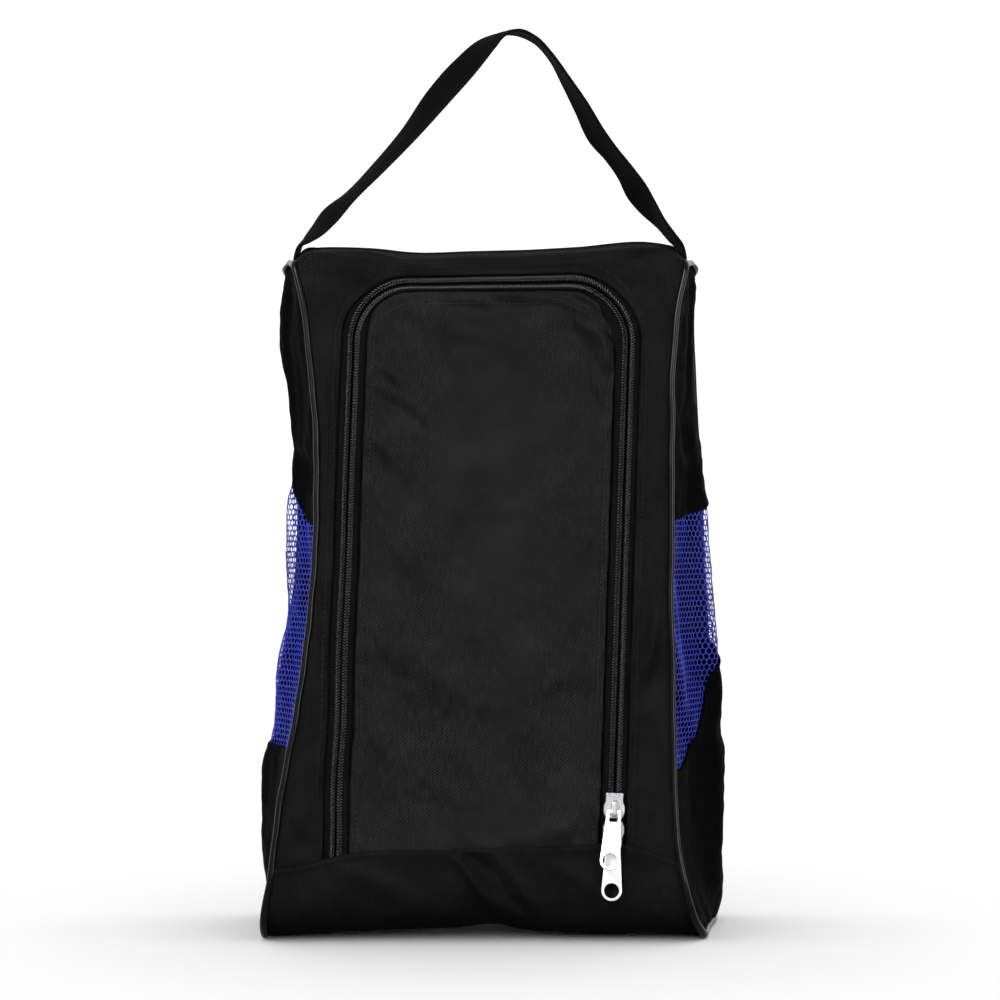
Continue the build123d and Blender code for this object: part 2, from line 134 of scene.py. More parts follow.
def piece(name, points, faces, material, body=None, cloth=None, settled=True):
    """A mesh object. cloth holds each point's place on the flat cloth, in metres, for the weave.

    A settled piece takes up the slack line of the case's top.
    """
    points = np.array(points, float).reshape(-1, 3)
    if settled:
        points[:, 2] += sink(points[:, 0]) * ease((points[:, 2] - SLACK_FROM) / SLACK_OVER)
    mesh = bpy.data.meshes.new(name)
    mesh.from_pydata(points.tolist(), [], faces)
    if cloth is not None:
        place = mesh.attributes.new("cloth", "FLOAT_VECTOR", "POINT")
        flat = np.zeros((len(mesh.vertices), 3), np.float32)
        flat[:, :2] = np.asarray(cloth, float).reshape(-1, 2)
        place.data.foreach_set("vector", flat.ravel())
    mesh.polygons.foreach_set("use_smooth", [True] * len(mesh.polygons))
    mesh.validate()
    thing = added(name, mesh)
    mesh.materials.append(material)
    if body:
        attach(thing, body)
    return thing


def normals(p):
    """Unit normals of a grid of points."""
    n = np.cross(np.gradient(p, axis=1), np.gradient(p, axis=0))
    length = np.linalg.norm(n, axis=-1, keepdims=True)
    return n / np.where(length < 1e-12, 1, length)


def flat_grid(u, v):
    """Places on the flat cloth from a row and a column of numbers."""
    return np.stack(np.broadcast_arrays(u, v), -1)


def skin(name, p, inward, material, thick=1.1 * MM, body=None, cloth=None):
    """Cloth of real thickness: the grid p is its outer face, and inward points to its inner face."""
    rows, columns = p.shape[:2]
    n = normals(p)
    if np.sum(n * inward) < 0:
        n = -n
    inner = p + n * thick
    count = rows * columns
    faces = grid(rows, columns)
    faces += [f[::-1] for f in grid(rows, columns, start=count)]
    rim = np.concatenate([
        np.arange(columns), np.arange(1, rows) * columns + columns - 1,
        (rows - 1) * columns + np.arange(columns - 2, -1, -1), np.arange(rows - 2, 0, -1) * columns])
    for a, b in zip(rim, np.roll(rim, -1)):
        faces.append([int(b), int(a), int(a + count), int(b + count)])
    points = np.concatenate([p.reshape(-1, 3), inner.reshape(-1, 3)])
    flat = None if cloth is None else np.concatenate([cloth.reshape(-1, 2)] * 2)
    return piece(name, points, faces, material, body, flat)


def panel(name, p, x, up, inward, material, replaced, body="bag"):
    """A panel of black cloth in place of its CAD nodes. x and up are its places on the flat cloth."""
    cloth = np.stack([x, up], -1)
    thing = skin(name, p, inward, material, body=body, cloth=cloth)
    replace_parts(thing, *replaced)
    return thing


def tube(path, radius, sides, up, closed=False):
    """Points and faces of a tube along a path. radius is a number or one for each point."""
    path = np.asarray(path, float)
    count = len(path)
    along = np.roll(path, -1, 0) - np.roll(path, 1, 0)
    if not closed:
        along[0], along[-1] = path[1] - path[0], path[-1] - path[-2]
    along /= np.linalg.norm(along, axis=1, keepdims=True)
    side = np.cross(along, np.asarray(up, float))
    side /= np.linalg.norm(side, axis=1, keepdims=True)
    other = np.cross(along, side)
    radius = np.broadcast_to(np.asarray(radius, float), (count,))
    turn = np.linspace(0, 2 * math.pi, sides, endpoint=False)
    ring = np.cos(turn)[None, :, None] * side[:, None] + np.sin(turn)[None, :, None] * other[:, None]
    points = path[:, None] + ring * radius[:, None, None]
    faces = capped(count, sides)
    if closed:
        last = (count - 1) * sides
        faces[-2:] = [[last + j, last + (j + 1) % sides, (j + 1) % sides, j] for j in range(sides)]
    return points.reshape(-1, 3), faces


def gather(parts):
    """Joins (points, faces) pairs into one."""
    points, faces, start = [], [], 0
    for p, f in parts:
        points.append(p)
        faces += [[i + start for i in face] for face in f]
        start += len(p)
    return np.concatenate(points), faces


# ---- materials
class Nodes:
    """A short way to write a node material."""

    def __init__(self, name, **settings):
        self.material = bpy.data.materials.new(name)
        self.material.use_nodes = True
        self.tree = self.material.node_tree
        self.shader = self.tree.nodes["Principled BSDF"]
        self.set(self.shader, **settings)

    def set(self, node, **settings):
        for key, value in settings.items():
            key = key.replace("_", " ")
            key = next(s.name for s in node.inputs if s.name.lower() == key.lower())
            self.put(node.inputs[key], value)

    def put(self, socket, value):
        if isinstance(value, bpy.types.NodeSocket):
            self.tree.links.new(value, socket)
        else:
            socket.default_value = value

    def add(self, kind, out=0, props=(), **settings):
        node = self.tree.nodes.new("ShaderNode" + kind)
        for key, value in dict(props).items():
            setattr(node, key, value)
        self.set(node, **settings)
        return node.outputs[out]

    def math(self, operation, *values, kind="Math"):
        node = self.tree.nodes.new("ShaderNode" + kind)
        node.operation = operation
        for socket, value in zip(node.inputs, values):
            self.put(socket, value)
        return node.outputs[0]

    def ramp(self, value, *stops):
        node = self.tree.nodes.new("ShaderNodeValToRGB")
        self.put(node.inputs[0], value)
        band = node.color_ramp.elements
        while len(band) < len(stops):
            band.new(0.5)
        for element, (place, colour) in zip(band, stops):
            element.position = place
            element.color = (*colour, 1)
        return node.outputs[0]

    def bump(self, height, strength, distance, under=None):
        node = self.tree.nodes.new("ShaderNodeBump")
        node.inputs["Strength"].default_value = strength
        node.inputs["Distance"].default_value = distance
        self.put(node.inputs["Height"], height)
        if under is not None:
            self.put(node.inputs["Normal"], under)
        return node.outputs[0]


def woven(name, dark, light, across, along, slant, rough, sheen, depth, specular):
    """Woven cloth: slanted ribs of yarn with a cross rib, slubs, a little fading and a soft sheen.

    across and along are the pitches of the ribs, and slant is their slope.
    """
    turn, weave_share, fading, slub_share = 2 * math.pi, 0.62, 0.20, 0.3
    m = Nodes(name, roughness=rough, sheen_weight=sheen, sheen_roughness=0.45, specular_ior_level=specular)
    m.shader.inputs["Sheen Tint"].default_value = (0.8, 0.82, 0.88, 1)
    flat = m.add("Attribute", out=1, props={"attribute_name": "cloth"})
    split = m.tree.nodes.new("ShaderNodeSeparateXYZ")
    m.put(split.inputs[0], flat)
    u, v = split.outputs[0], split.outputs[1]
    wander = m.add("TexNoise", vector=flat, scale=240.0, detail=2.0)
    stray = m.math("MULTIPLY", m.math("SUBTRACT", wander, 0.5), 1.6)
    waves = []
    for one, other, sign, pitch in ((u, v, "ADD", across), (v, u, "SUBTRACT", along)):
        tilted = m.math("MULTIPLY", other, turn * slant / pitch)
        phase = m.math(sign, m.math("MULTIPLY", one, turn / pitch), tilted)
        waves.append(m.math("SINE", m.math("ADD", phase, stray)))
    rib, weft = waves
    weave = m.math("MULTIPLY_ADD", rib, 0.5, m.math("MULTIPLY", weft, 0.35))
    height = m.math("MULTIPLY_ADD", weave, 0.5, 0.5)
    blotch = m.add("TexNoise", vector=flat, scale=38.0, detail=5.0, roughness=0.6)
    drawn_out = m.math("MULTIPLY", flat, (1.0, 0.16, 1.0), kind="VectorMath")
    slub = m.add("TexNoise", vector=drawn_out, scale=900.0, detail=2.0)
    uneven = m.math("MULTIPLY_ADD", blotch, fading, m.math("MULTIPLY", slub, slub_share))
    tone = m.math("MULTIPLY_ADD", height, weave_share, uneven)
    m.set(m.shader, base_color=m.ramp(tone, (0.56, dark), (0.84, light)))
    grain = m.bump(height, 0.85, depth)
    m.set(m.shader, normal=m.bump(slub, 0.25, depth * 0.6, grain))
    return m.material


TWILL = {
    "across": 1.25 * MM, "along": 1.40 * MM, "slant": 0.62, "rough": 0.60, "sheen": 0.001, "depth": 0.16 * MM}
BLACK = woven("black_twill", (0.0001, 0.0001, 0.00012), (0.0166, 0.0166, 0.0173), specular=0.010, **TWILL)
# A darker copy of the flap's twill: painted shade on the front's surround, the bottom, the back and the ridge
# seam.
CASE_TWILL_PAINTED_SHADE = woven("case_twill", (0.0001, 0.0001, 0.00012), (0.0100, 0.0100, 0.0105), specular=0.007, **TWILL)
# A much darker copy of the same twill: painted shade on the side panels, which turn away from the lamps.
SIDE_TWILL_PAINTED_SHADE = woven("side_cloth", (0.0001, 0.0001, 0.0001), (0.0022, 0.0022, 0.0023), specular=0.004, **TWILL)
TAPE = woven(
    "zipper_tape", (0.0002, 0.0002, 0.0002), (0.0050, 0.0050, 0.0053),
    across=0.8 * MM, along=0.55 * MM, slant=0.0, rough=0.7, sheen=0.001, depth=0.1 * MM, specular=0.012)
WEBBING = woven(
    "webbing", (0.0001, 0.0001, 0.0001), (0.0018, 0.0018, 0.0019),
    across=2.0 * MM, along=1.1 * MM, slant=0.0, rough=0.7, sheen=0.001, depth=0.3 * MM, specular=0.02)
BINDING = woven(
    "binding", (0.0005, 0.0005, 0.0005), (0.003, 0.003, 0.0032),
    across=0.9 * MM, along=0.7 * MM, slant=0.0, rough=0.75, sheen=0.002, depth=0.1 * MM, specular=0.04)


def plain(name, low, high, size, rough_low, rough_high, bump, **settings):
    """A moulded or cast surface with fine unevenness in its colour, roughness and height."""
    m = Nodes(name, **settings)
    where = m.add("TexCoord", out=3)
    fine = m.add("TexNoise", vector=where, scale=1 / size, detail=4.0)
    broad = m.add("TexNoise", vector=where, scale=0.12 / size, detail=3.0)
    m.set(m.shader, base_color=m.ramp(broad, (0.3, low), (0.75, high)))
    spread = m.add("MapRange", value=fine, from_min=0.3, from_max=0.7, to_min=rough_low, to_max=rough_high)
    m.set(m.shader, roughness=spread, normal=m.bump(fine, 0.5, bump))
    return m.material


PIPING = plain(
    "glossy_piping", (0.0008, 0.0008, 0.0008), (0.0016, 0.0016, 0.0018),
    2 * MM, 0.20, 0.28, 0.05 * MM, specular_ior_level=0.06)
NYLON = plain(
    "nylon_coil", (0.0004, 0.0004, 0.0005), (0.0012, 0.0012, 0.0015),
    0.8 * MM, 0.10, 0.18, 0.03 * MM, specular_ior_level=0.22)
THREAD = plain(
    "thread", (0.0004, 0.0004, 0.0005), (0.0016, 0.0016, 0.0018),
    0.5 * MM, 0.40, 0.60, 0.05 * MM, specular_ior_level=0.06)
ZINC = plain(
    "bright_zinc", (0.34, 0.34, 0.35), (0.46, 0.46, 0.47),
    0.7 * MM, 0.20, 0.40, 0.03 * MM, metallic=1.0)
PULL_ZINC = plain(
    "polished_zinc", (0.54, 0.54, 0.55), (0.62, 0.62, 0.63),
    1.5 * MM, 0.34, 0.42, 0.006 * MM, metallic=1.0)
MESH_BLUE = plain(
    "blue_mesh", (0.003, 0.007, 0.10), (0.006, 0.014, 0.21),
    0.4 * MM, 0.30, 0.42, 0.06 * MM, specular_ior_level=0.12)

# ---- the case's shape
HEIGHT, SHOULDER_Z, LEAN, BASE_HALF = 347 * MM, 341 * MM, 0.1, 63 * MM
LEAN_NORM = math.hypot(1, LEAN)
SHOULDER_Y = BASE_HALF - LEAN * SHOULDER_Z
SHOULDER_ROUND, BASE_ROUND = 6 * MM, 32 * MM
BASE_ROUND_TOP = 36 * MM        # the height at which the front starts to turn under
MID_FRONT = 150 * MM            # a height on the front's straight stretch


def rounded(corners, step=0.5 * MM):
    """An open path of straight runs with rounded corners: (y, z, radius), sampled evenly."""
    path = [np.array(corners[0][:2])]
    for before, here, after in zip(corners, corners[1:], corners[2:]):
        p, q, r = (np.array(c[:2]) for c in (before, here, after))
        a, b = (p - q) / np.linalg.norm(p - q), (r - q) / np.linalg.norm(r - q)
        half = math.acos(np.clip(a @ b, -1, 1)) / 2
        cut = here[2] / math.tan(half)
        middle = q + (a + b) / np.linalg.norm(a + b) * here[2] / math.sin(half)
        first, last = q + a * cut - middle, q + b * cut - middle
        angle = math.acos(np.clip(first @ last / here[2] ** 2, -1, 1))
        for t in np.linspace(0, 1, 24):
            swung = first * math.sin((1 - t) * angle) + last * math.sin(t * angle)
            path.append(middle + swung / math.sin(angle))
    path.append(np.array(corners[-1][:2]))
    path = np.array(path)
    run = np.r_[0, np.cumsum(np.linalg.norm(np.diff(path, axis=0), axis=1))]
    even = np.arange(0, run[-1], step)
    return even, np.stack([np.interp(even, run, path[:, 0]), np.interp(even, run, path[:, 1])], 1)


RUN, OUTLINE = rounded([
    (0, HEIGHT, 0), (-SHOULDER_Y, SHOULDER_Z, SHOULDER_ROUND), (-BASE_HALF, 0, BASE_ROUND),
    (BASE_HALF, 0, BASE_ROUND), (SHOULDER_Y, SHOULDER_Z, SHOULDER_ROUND), (0, HEIGHT, 0)])
AT_MID = np.interp(-MID_FRONT, -OUTLINE[: len(RUN) // 2, 1], RUN[: len(RUN) // 2])
RIDGE = AT_MID + MID_FRONT * LEAN_NORM        # how far up the cloth the ridge is, with the front's base at 0
BACK_RIDGE = RIDGE - RUN[-1]
FACING = np.gradient(OUTLINE, axis=0)
FACING = np.stack([FACING[:, 1], -FACING[:, 0]], 1) / np.linalg.norm(FACING, axis=1, keepdims=True)
FACING = np.stack([np.convolve(np.pad(FACING[:, k], 4, "edge"), np.ones(9) / 9, "valid") for k in (0, 1)], 1)
FACING *= -np.sign(FACING[len(RUN) // 4, 0]) if FACING[len(RUN) // 4, 0] > 0 else 1


def around(up):
    """Place (y, z) and outward direction on the case's side outline, for a place up the cloth."""
    run = RIDGE - up
    y, z = np.interp(run, RUN, OUTLINE[:, 0]), np.interp(run, RUN, OUTLINE[:, 1])
    return y, z, np.interp(run, RUN, FACING[:, 0]), np.interp(run, RUN, FACING[:, 1])


def half_depth(z):
    """Half the case's depth at a height."""
    face = BASE_HALF - LEAN * z
    low = np.clip(BASE_ROUND_TOP - z, 0, BASE_ROUND)
    rounding = BASE_ROUND - np.sqrt(np.maximum(BASE_ROUND**2 - low**2, 0))
    roof = (HEIGHT - z) / (HEIGHT - SHOULDER_Z) * SHOULDER_Y
    return np.clip(np.minimum(face - rounding, np.where(z > SHOULDER_Z, roof, 1)), 0.1 * MM, 1)


SIDES = (("left", -1), ("right", 1))
# for each side, in millimetres: (z, how far out)
FRONT_EDGE = {
    -1: [
        (0, 112.0), (6, 112.3), (20, 110.0), (40, 107.2), (60, 104.8), (79, 101.8), (120, 94.5),
        (169, 88.5), (220, 86.0), (259, 87.0), (297, 90.6), (319, 93.6), (347, 99)],
    1: [
        (0, 104.5), (10, 100.4), (20, 97.6), (40, 93.6), (60, 91.4), (79, 90.6), (120, 90.4), (169, 89.6),
        (220, 90.2), (259, 90.4), (297, 91.6), (319, 94.2), (347, 99)]}
BACK_EDGE = {
    -1: [
        (0, 112), (5, 113), (20, 116), (45, 117), (80, 114.5), (100, 112.5), (130, 109.5), (150, 106.0),
        (170, 102.5), (220, 99.5), (245, 99.5), (300, 103), (347, 104.5)],
    1: [
        (0, 117), (5, 118), (20, 119), (45, 119.5), (100, 117.0), (170, 112.0), (245, 108.0), (300, 105.0),
        (347, 104.5)]}
BULGE = {
    -1: [
        (0, 1), (20, 3), (40, 4.5), (70, 8.0), (100, 7.6), (140, 9.8), (162, 8.4), (180, 10.4), (220, 11.2),
        (245, 8.6), (280, 7.6), (300, 8.8), (329, 6.0), (347, 3)],
    1: [
        (0, 2.5), (6, 4), (12, 5.5), (20, 7.0), (40, 8.4), (70, 10.2), (100, 12.6), (140, 13.6),
        (166, 13.2), (220, 9.6), (259, 6.3), (300, 4.8), (329, 4.7), (347, 3)]}
# the share of the bulge from the front's edge (-1) to the back's (1)
BULGE_SHARE = [
    (-1, 0), (-0.6, 0.06), (-0.15, 0.20), (0.05, 0.45), (0.28, 0.96), (0.38, 1.0), (0.7, 0.58), (1, 0)]


def side_x(side, y, z):
    """How far out the side panel is at a place on it."""
    zz = np.asarray(z) / MM
    depth = BASE_HALF - LEAN * np.minimum(z, SHOULDER_Z)
    share = np.clip(y / depth, -1, 1)
    front, back = curve(zz, FRONT_EDGE[side]), curve(zz, BACK_EDGE[side])
    slack = curve(share, BULGE_SHARE)
    return side * (front + (back - front) * (share + 1) / 2 + curve(zz, BULGE[side]) * slack) * MM


def edge_x(side, y, z):
    """How far sideways the front, bottom and back cloth reach: just past the side panel."""
    return side_x(side, y, z) + side * 0.9 * MM


def onto(x, up, out):
    """A point on the front, bottom or back cloth."""
    y, z, ny, nz = around(up)
    return np.stack([x + 0 * y, y + ny * out, z + nz * out], -1)


# ---- folds in the front cloth
# each crease: from (x, z) to (x, z), half width, height, all in millimetres
CREASES = [
    (40, 318, 56, 306, 2.6, 1.6), (46, 309, 60, 296, 2.4, 1.5), (56, 304, 57, 282, 2.4, 1.5),
    (44, 302, 54, 288, 3.0, -1.0), (20, 322, 44, 317, 2.2, 0.9), (-20, 322, 6, 316, 2.4, 0.8),
    (50, 284, 58, 268, 3.0, 0.9), (-59, 290, -38, 272, 3.0, 1.5), (-58, 272, -36, 258, 2.8, -1.2),
    (-60, 252, -44, 236, 3.5, 1.1), (52, 142, 44, 124, 4.0, 1.2), (84, 158, 74, 130, 4.0, 1.6),
    (78, 168, 70, 140, 4.0, -1.0), (-19, 44, -3, 20, 3.2, 2.2), (-10, 46, 10, 20, 4.0, -1.2),
    (28, 40, 52, 26, 5.0, 0.8), (-70, 36, -48, 24, 5.0, 0.8), (-92, 341, -44, 337, 3.0, 1.5),
    (-64, 344, -34, 336, 2.5, 1.5), (-88, 334, -60, 322, 5.0, -1.2), (40, 342, 84, 334, 3.0, 1.0),
    (-84, 300, -80, 210, 4.5, 1.3), (-88, 200, -86, 120, 4.0, 1.0), (-86, 110, -92, 60, 4.0, 1.0),
    (84, 300, 82, 215, 4.0, 1.0), (80, 120, 83, 60, 4.0, 1.0), (-20, 300, 10, 120, 16.0, 1.0),
    (24, 280, 36, 110, 12.0, -0.8)]
CREASE_GAIN, CREASE_BOW = 2.4, 0.06     # on every height, and how far a crease curves for its length


def folds(x, z):
    """Height of the folds on the front, from x and z in metres."""
    x, z = x / MM, z / MM
    total = 0
    for x0, z0, x1, z1, wide, high in CREASES:
        run = np.array([x1 - x0, z1 - z0], float)
        length = np.linalg.norm(run)
        run /= length
        along = (x - x0) * run[0] + (z - z0) * run[1]
        middle = np.sin(np.clip(along / length, 0, 1) * math.pi)
        across = -(x - x0) * run[1] + (z - z0) * run[0] - CREASE_BOW * length * middle
        past = np.maximum(np.maximum(-along, along - length), 0)
        reach = np.exp(-((past / (2.2 * wide)) ** 2))
        body = np.exp(-((across / wide) ** 2)) * (0.55 + 0.45 * middle)
        trough = np.exp(-(((across - 1.7 * wide) / wide) ** 2))
        total = total + CREASE_GAIN * high * reach * (body - 0.45 * trough)
    place = np.stack([x, z], -1)
    broad, middling, fine = lumps(place, 70, 3), lumps(place * [1.0, 0.6], 26, 4), lumps(place, 9, 5)
    return (total + 0.55 * broad + 0.28 * middling + 0.10 * fine) * MM


# ---- slack cloth
GROWN = 10.0        # the cloth solver works on a case ten times larger
LAST_FRAME = 26     # the cloth has settled by then


def slack_cloth(rest, out, held, extra, seed, limit):
    """How far slack cloth stands off its shape, from a cloth simulation of the panel held at its seams."""
    rows, columns = rest.shape[:2]
    start = rest + out * (0.5 * MM * lumps(rest, 60 * MM, seed))[..., None] * (~held)[..., None]
    mesh = bpy.data.meshes.new("slack")
    mesh.from_pydata((start * GROWN).reshape(-1, 3).tolist(), [], grid(rows, columns))
    sheet = added("slack", mesh)
    pins = sheet.vertex_groups.new(name="seams")
    pins.add(np.flatnonzero(held.ravel()).tolist(), 1.0, "REPLACE")
    cloth = sheet.modifiers.new("cloth", "CLOTH")
    how = cloth.settings
    how.quality, how.mass, how.time_scale = 7, 0.25, 1.0
    how.tension_stiffness = how.compression_stiffness = 22
    how.shear_stiffness, how.bending_stiffness = 9, 2.2
    how.tension_damping = how.compression_damping = how.shear_damping = 12
    how.air_damping = 3
    how.vertex_group_mass = "seams"
    how.pin_stiffness = 1.0
    how.shrink_min = -extra
    how.shrink_max = -extra
    cloth.point_cache.frame_start, cloth.point_cache.frame_end = 1, LAST_FRAME
    scene = bpy.context.scene
    for frame_number in range(1, LAST_FRAME + 1):
        scene.frame_set(frame_number)
    solved = sheet.evaluated_get(bpy.context.evaluated_depsgraph_get()).to_mesh()
    settled = np.zeros(rows * columns * 3)
    solved.vertices.foreach_get("co", settled)
    settled = settled.reshape(rows, columns, 3) / GROWN
    bpy.data.objects.remove(sheet)
    bpy.data.meshes.remove(mesh)
    scene.frame_set(1)
    moved = np.sum((settled - rest) * out, -1)
    for _ in range(2):
        beside = moved[:-2, 1:-1] + moved[2:, 1:-1] + moved[1:-1, :-2] + moved[1:-1, 2:]
        moved[1:-1, 1:-1] = (2 * moved[1:-1, 1:-1] + beside) / 6
    return limit * np.tanh(moved / limit)


def sampled(field, rows_at, columns_at, a, b):
    """The value of a gridded field at places (a, b), by straight interpolation."""
    i = np.clip(np.interp(a, rows_at, np.arange(len(rows_at))), 0, len(rows_at) - 1.001)
    j = np.clip(np.interp(b, columns_at, np.arange(len(columns_at))), 0, len(columns_at) - 1.001)
    i0, j0 = i.astype(int), j.astype(int)
    s, t = i - i0, j - j0
    return ((field[i0, j0] * (1 - s) + field[i0 + 1, j0] * s) * (1 - t)
            + (field[i0, j0 + 1] * (1 - s) + field[i0 + 1, j0 + 1] * s) * t)


# ---- the zipper's line on the front cloth
# in millimetres: the heights of the zipper's ends and its top, the x of each leg low down and at its corner
ZIP_LOW, ZIP_TOP, ZIP_ROUND = 33, 329, 30
LEFT_LEG, RIGHT_LEG = (-77, -68), (61, 71)
LEG_RISE, BELOW_LEG = 282, 14.5     # from the one x to the other, and from the zipper's end to the first


def zipper_line():
    """The chain's middle line, (x, up), and its outward direction, from lower left to lower right."""
    low, high = ZIP_LOW * LEAN_NORM, ZIP_TOP * LEAN_NORM
    rise, below = LEG_RISE * LEAN_NORM, BELOW_LEG * LEAN_NORM
    left, right = (foot - (corner - foot) / rise * below for foot, corner in (LEFT_LEG, RIGHT_LEG))
    corners = [
        (left, low, 0), (LEFT_LEG[1], high, ZIP_ROUND),
        (RIGHT_LEG[1], high + 0.8, ZIP_ROUND), (right, low, 0)]
    run, line = rounded(corners, 0.25)
    way = np.gradient(line, axis=0)
    way /= np.linalg.norm(way, axis=1, keepdims=True)
    out = np.stack([-way[:, 1], way[:, 0]], 1)
    return run * MM, line * MM, out


ZIP_RUN, ZIP_LINE, ZIP_OUT = zipper_line()
wave = 0.35 * MM * lumps(ZIP_RUN[:, None], 55 * MM, 7) * ease((40 * MM - ZIP_LINE[:, 0]) / (30 * MM))
ZIP_LINE = ZIP_LINE + ZIP_OUT * wave[:, None]
ZIP_LENGTH = ZIP_RUN[-1]


def beside_zipper(run, off):
    """(x, up) at a distance along the chain and outward from its line."""
    line = np.stack([np.interp(run, ZIP_RUN, ZIP_LINE[:, k]) for k in (0, 1)], -1)
    out = np.stack([np.interp(run, ZIP_RUN, ZIP_OUT[:, k]) for k in (0, 1)], -1)
    return line + out * np.asarray(off)[..., None], out


def from_zipper(x, up):
    """Distance of places on the front cloth from the chain's line."""
    line = ZIP_LINE[::8]
    p = np.stack([x.ravel(), up.ravel()], 1)
    best = np.full(len(p), 1.0)
    for chunk in range(0, len(p), 4000):
        d = np.linalg.norm(p[chunk:chunk + 4000, None] - line[None], axis=2)
        best[chunk:chunk + 4000] = d.min(1)
    return best.reshape(x.shape)


# the front's lower seam: (x, z) in millimetres
LOWER_SEAM = [
    (-112, 37.5), (-95, 38.7), (-75, 43.6), (-20, 46.8), (35, 48.4), (73, 48.2), (91, 41.5), (108, 38)]


def seam_height(x):
    """Height of the front's lower seam across the case."""
    return curve(x / MM, LOWER_SEAM) * MM


FRONT_UPS, FRONT_XS = np.linspace(30 * MM, RIDGE, 118), np.linspace(-100 * MM, 100 * MM, 76)


def buckle_front():
    """The front, held along its seams and stiffer along the zipper."""
    x, up = np.meshgrid(FRONT_XS, FRONT_UPS)
    y, z, ny, nz = around(up)
    share = np.clip(x / (94 * MM), -1, 1)
    x = x * side_x(1, y, z) / (100 * MM) * (x > 0) + x * -side_x(-1, y, z) / (100 * MM) * (x <= 0)
    belly = 2.0 * MM * (1 - share**2) * ease((z - 30 * MM) / (60 * MM))
    rest = onto(x, up, belly * ease((SHOULDER_Z - z) / (40 * MM)))
    out = np.stack([0 * x, ny, nz], -1)
    held = (np.abs(share) > 0.985) | (z > SHOULDER_Z + 2 * MM) | (z < seam_height(x) + 1 * MM)
    held = held | ((from_zipper(x, up) < 2.2 * MM) & (np.arange(len(FRONT_UPS))[:, None] % 3 == 0))
    return slack_cloth(rest, out, held, 0.035, 91, 6.0 * MM)


def buckle_back():
    """The back panel, held along all its seams."""
    x, up = np.meshgrid(FRONT_XS * 1.05, BACK_UPS)
    _, z, ny, nz = around(up)
    share = np.clip(x / (105 * MM), -1, 1)
    belly = 3.0 * MM * (1 - share**2) * ease(z / (80 * MM))
    rest = onto(x, up, belly * ease((SHOULDER_Z - z) / (60 * MM)))
    held = (np.abs(share) > 0.985) | (z > SHOULDER_Z + 2 * MM) | (z < 48 * MM)
    return slack_cloth(rest, np.stack([0 * x, ny, nz], -1), held, 0.03, 92, 5.0 * MM)


def buckle_side(side):
    """A side panel, held along its piping and its two cloth-to-mesh seams."""
    share, z = np.meshgrid(SIDE_SHARES, SIDE_ZS)
    y = share * half_depth(z)
    rest = np.stack([side_x(side, y, z), y, z], -1)
    held = (np.abs(share) > 0.98) | (z < 3 * MM) | (z > 338 * MM)
    for height in (92 * MM, 225 * MM):
        held = held | ((np.abs(z - height) < 2 * MM) & (np.arange(len(SIDE_SHARES))[None] % 6 == 0))
    out = np.broadcast_to(np.array([side, 0.0, 0.0]), rest.shape)
    return slack_cloth(rest, out, held, 0.02, 93 + side, 2.2 * MM)


BACK_UPS = np.linspace(BACK_RIDGE, BACK_RIDGE + 300 * MM, 104)
SIDE_SHARES, SIDE_ZS = np.linspace(-1, 1, 40), np.linspace(0, 345 * MM, 110)
FRONT_SLACK, BACK_SLACK = buckle_front(), buckle_back()
SIDE_SLACK = {side: buckle_side(side) for side in (-1, 1)}
FRONT_SIDES = {side: side_x(side, *around(FRONT_UPS)[:2]) for side in (-1, 1)}


def swell(x, up):
    """How far the front cloth stands out, without its hems."""
    _, z, _, _ = around(up)
    away = from_zipper(x, up)
    share = np.clip(x / (95 * MM), -1, 1)
    belly = 2.2 * MM * (1 - share**2) * ease((z - 50 * MM) / (60 * MM)) * ease((SHOULDER_Z - z) / (40 * MM))
    belly = belly * ease((away - 2 * MM) / (30 * MM))
    calm = ease((away - 3.5 * MM) / (6 * MM))
    tuck = 2.2 * MM * ease((seam_height(x) - z) / (5 * MM))
    left, right = (np.interp(up, FRONT_UPS, FRONT_SIDES[side]) for side in (-1, 1))
    wide = np.where(x > 0, right, -left)
    slack = sampled(FRONT_SLACK, FRONT_UPS, FRONT_XS, up, x / wide * 100 * MM)
    slack = slack * ease((away - 5 * MM) / (14 * MM))
    calm = calm * ease((wide - np.abs(x)) / (10 * MM))      # the folds fade out at the side edges
    return belly + slack + folds(x, z) * calm * ease((SHOULDER_Z + 7 * MM - z) / (9 * MM)) - tuck


def hem(distance):
    """The raised roll of a folded, topstitched edge."""
    d = distance / MM
    roll = 0.9 * np.sqrt(np.clip(1 - (1 - np.clip(d / 1.3, 0, 1)) ** 2, 0, 1)) - 0.9
    return (roll + 0.5 * (1 - ease((d - 2.6) / 1.8)) - 0.22 * np.exp(-(((d - 3.1) / 0.5) ** 2))) * MM


# ---- front panel, round the zipper
INWARD = np.array([0, 1.0, 0])
FURTHEST = 0.4      # no ray from the cut-out runs further than this over the cloth
LEVEL = 0.02        # a ray that leans less than this is taken as level or upright


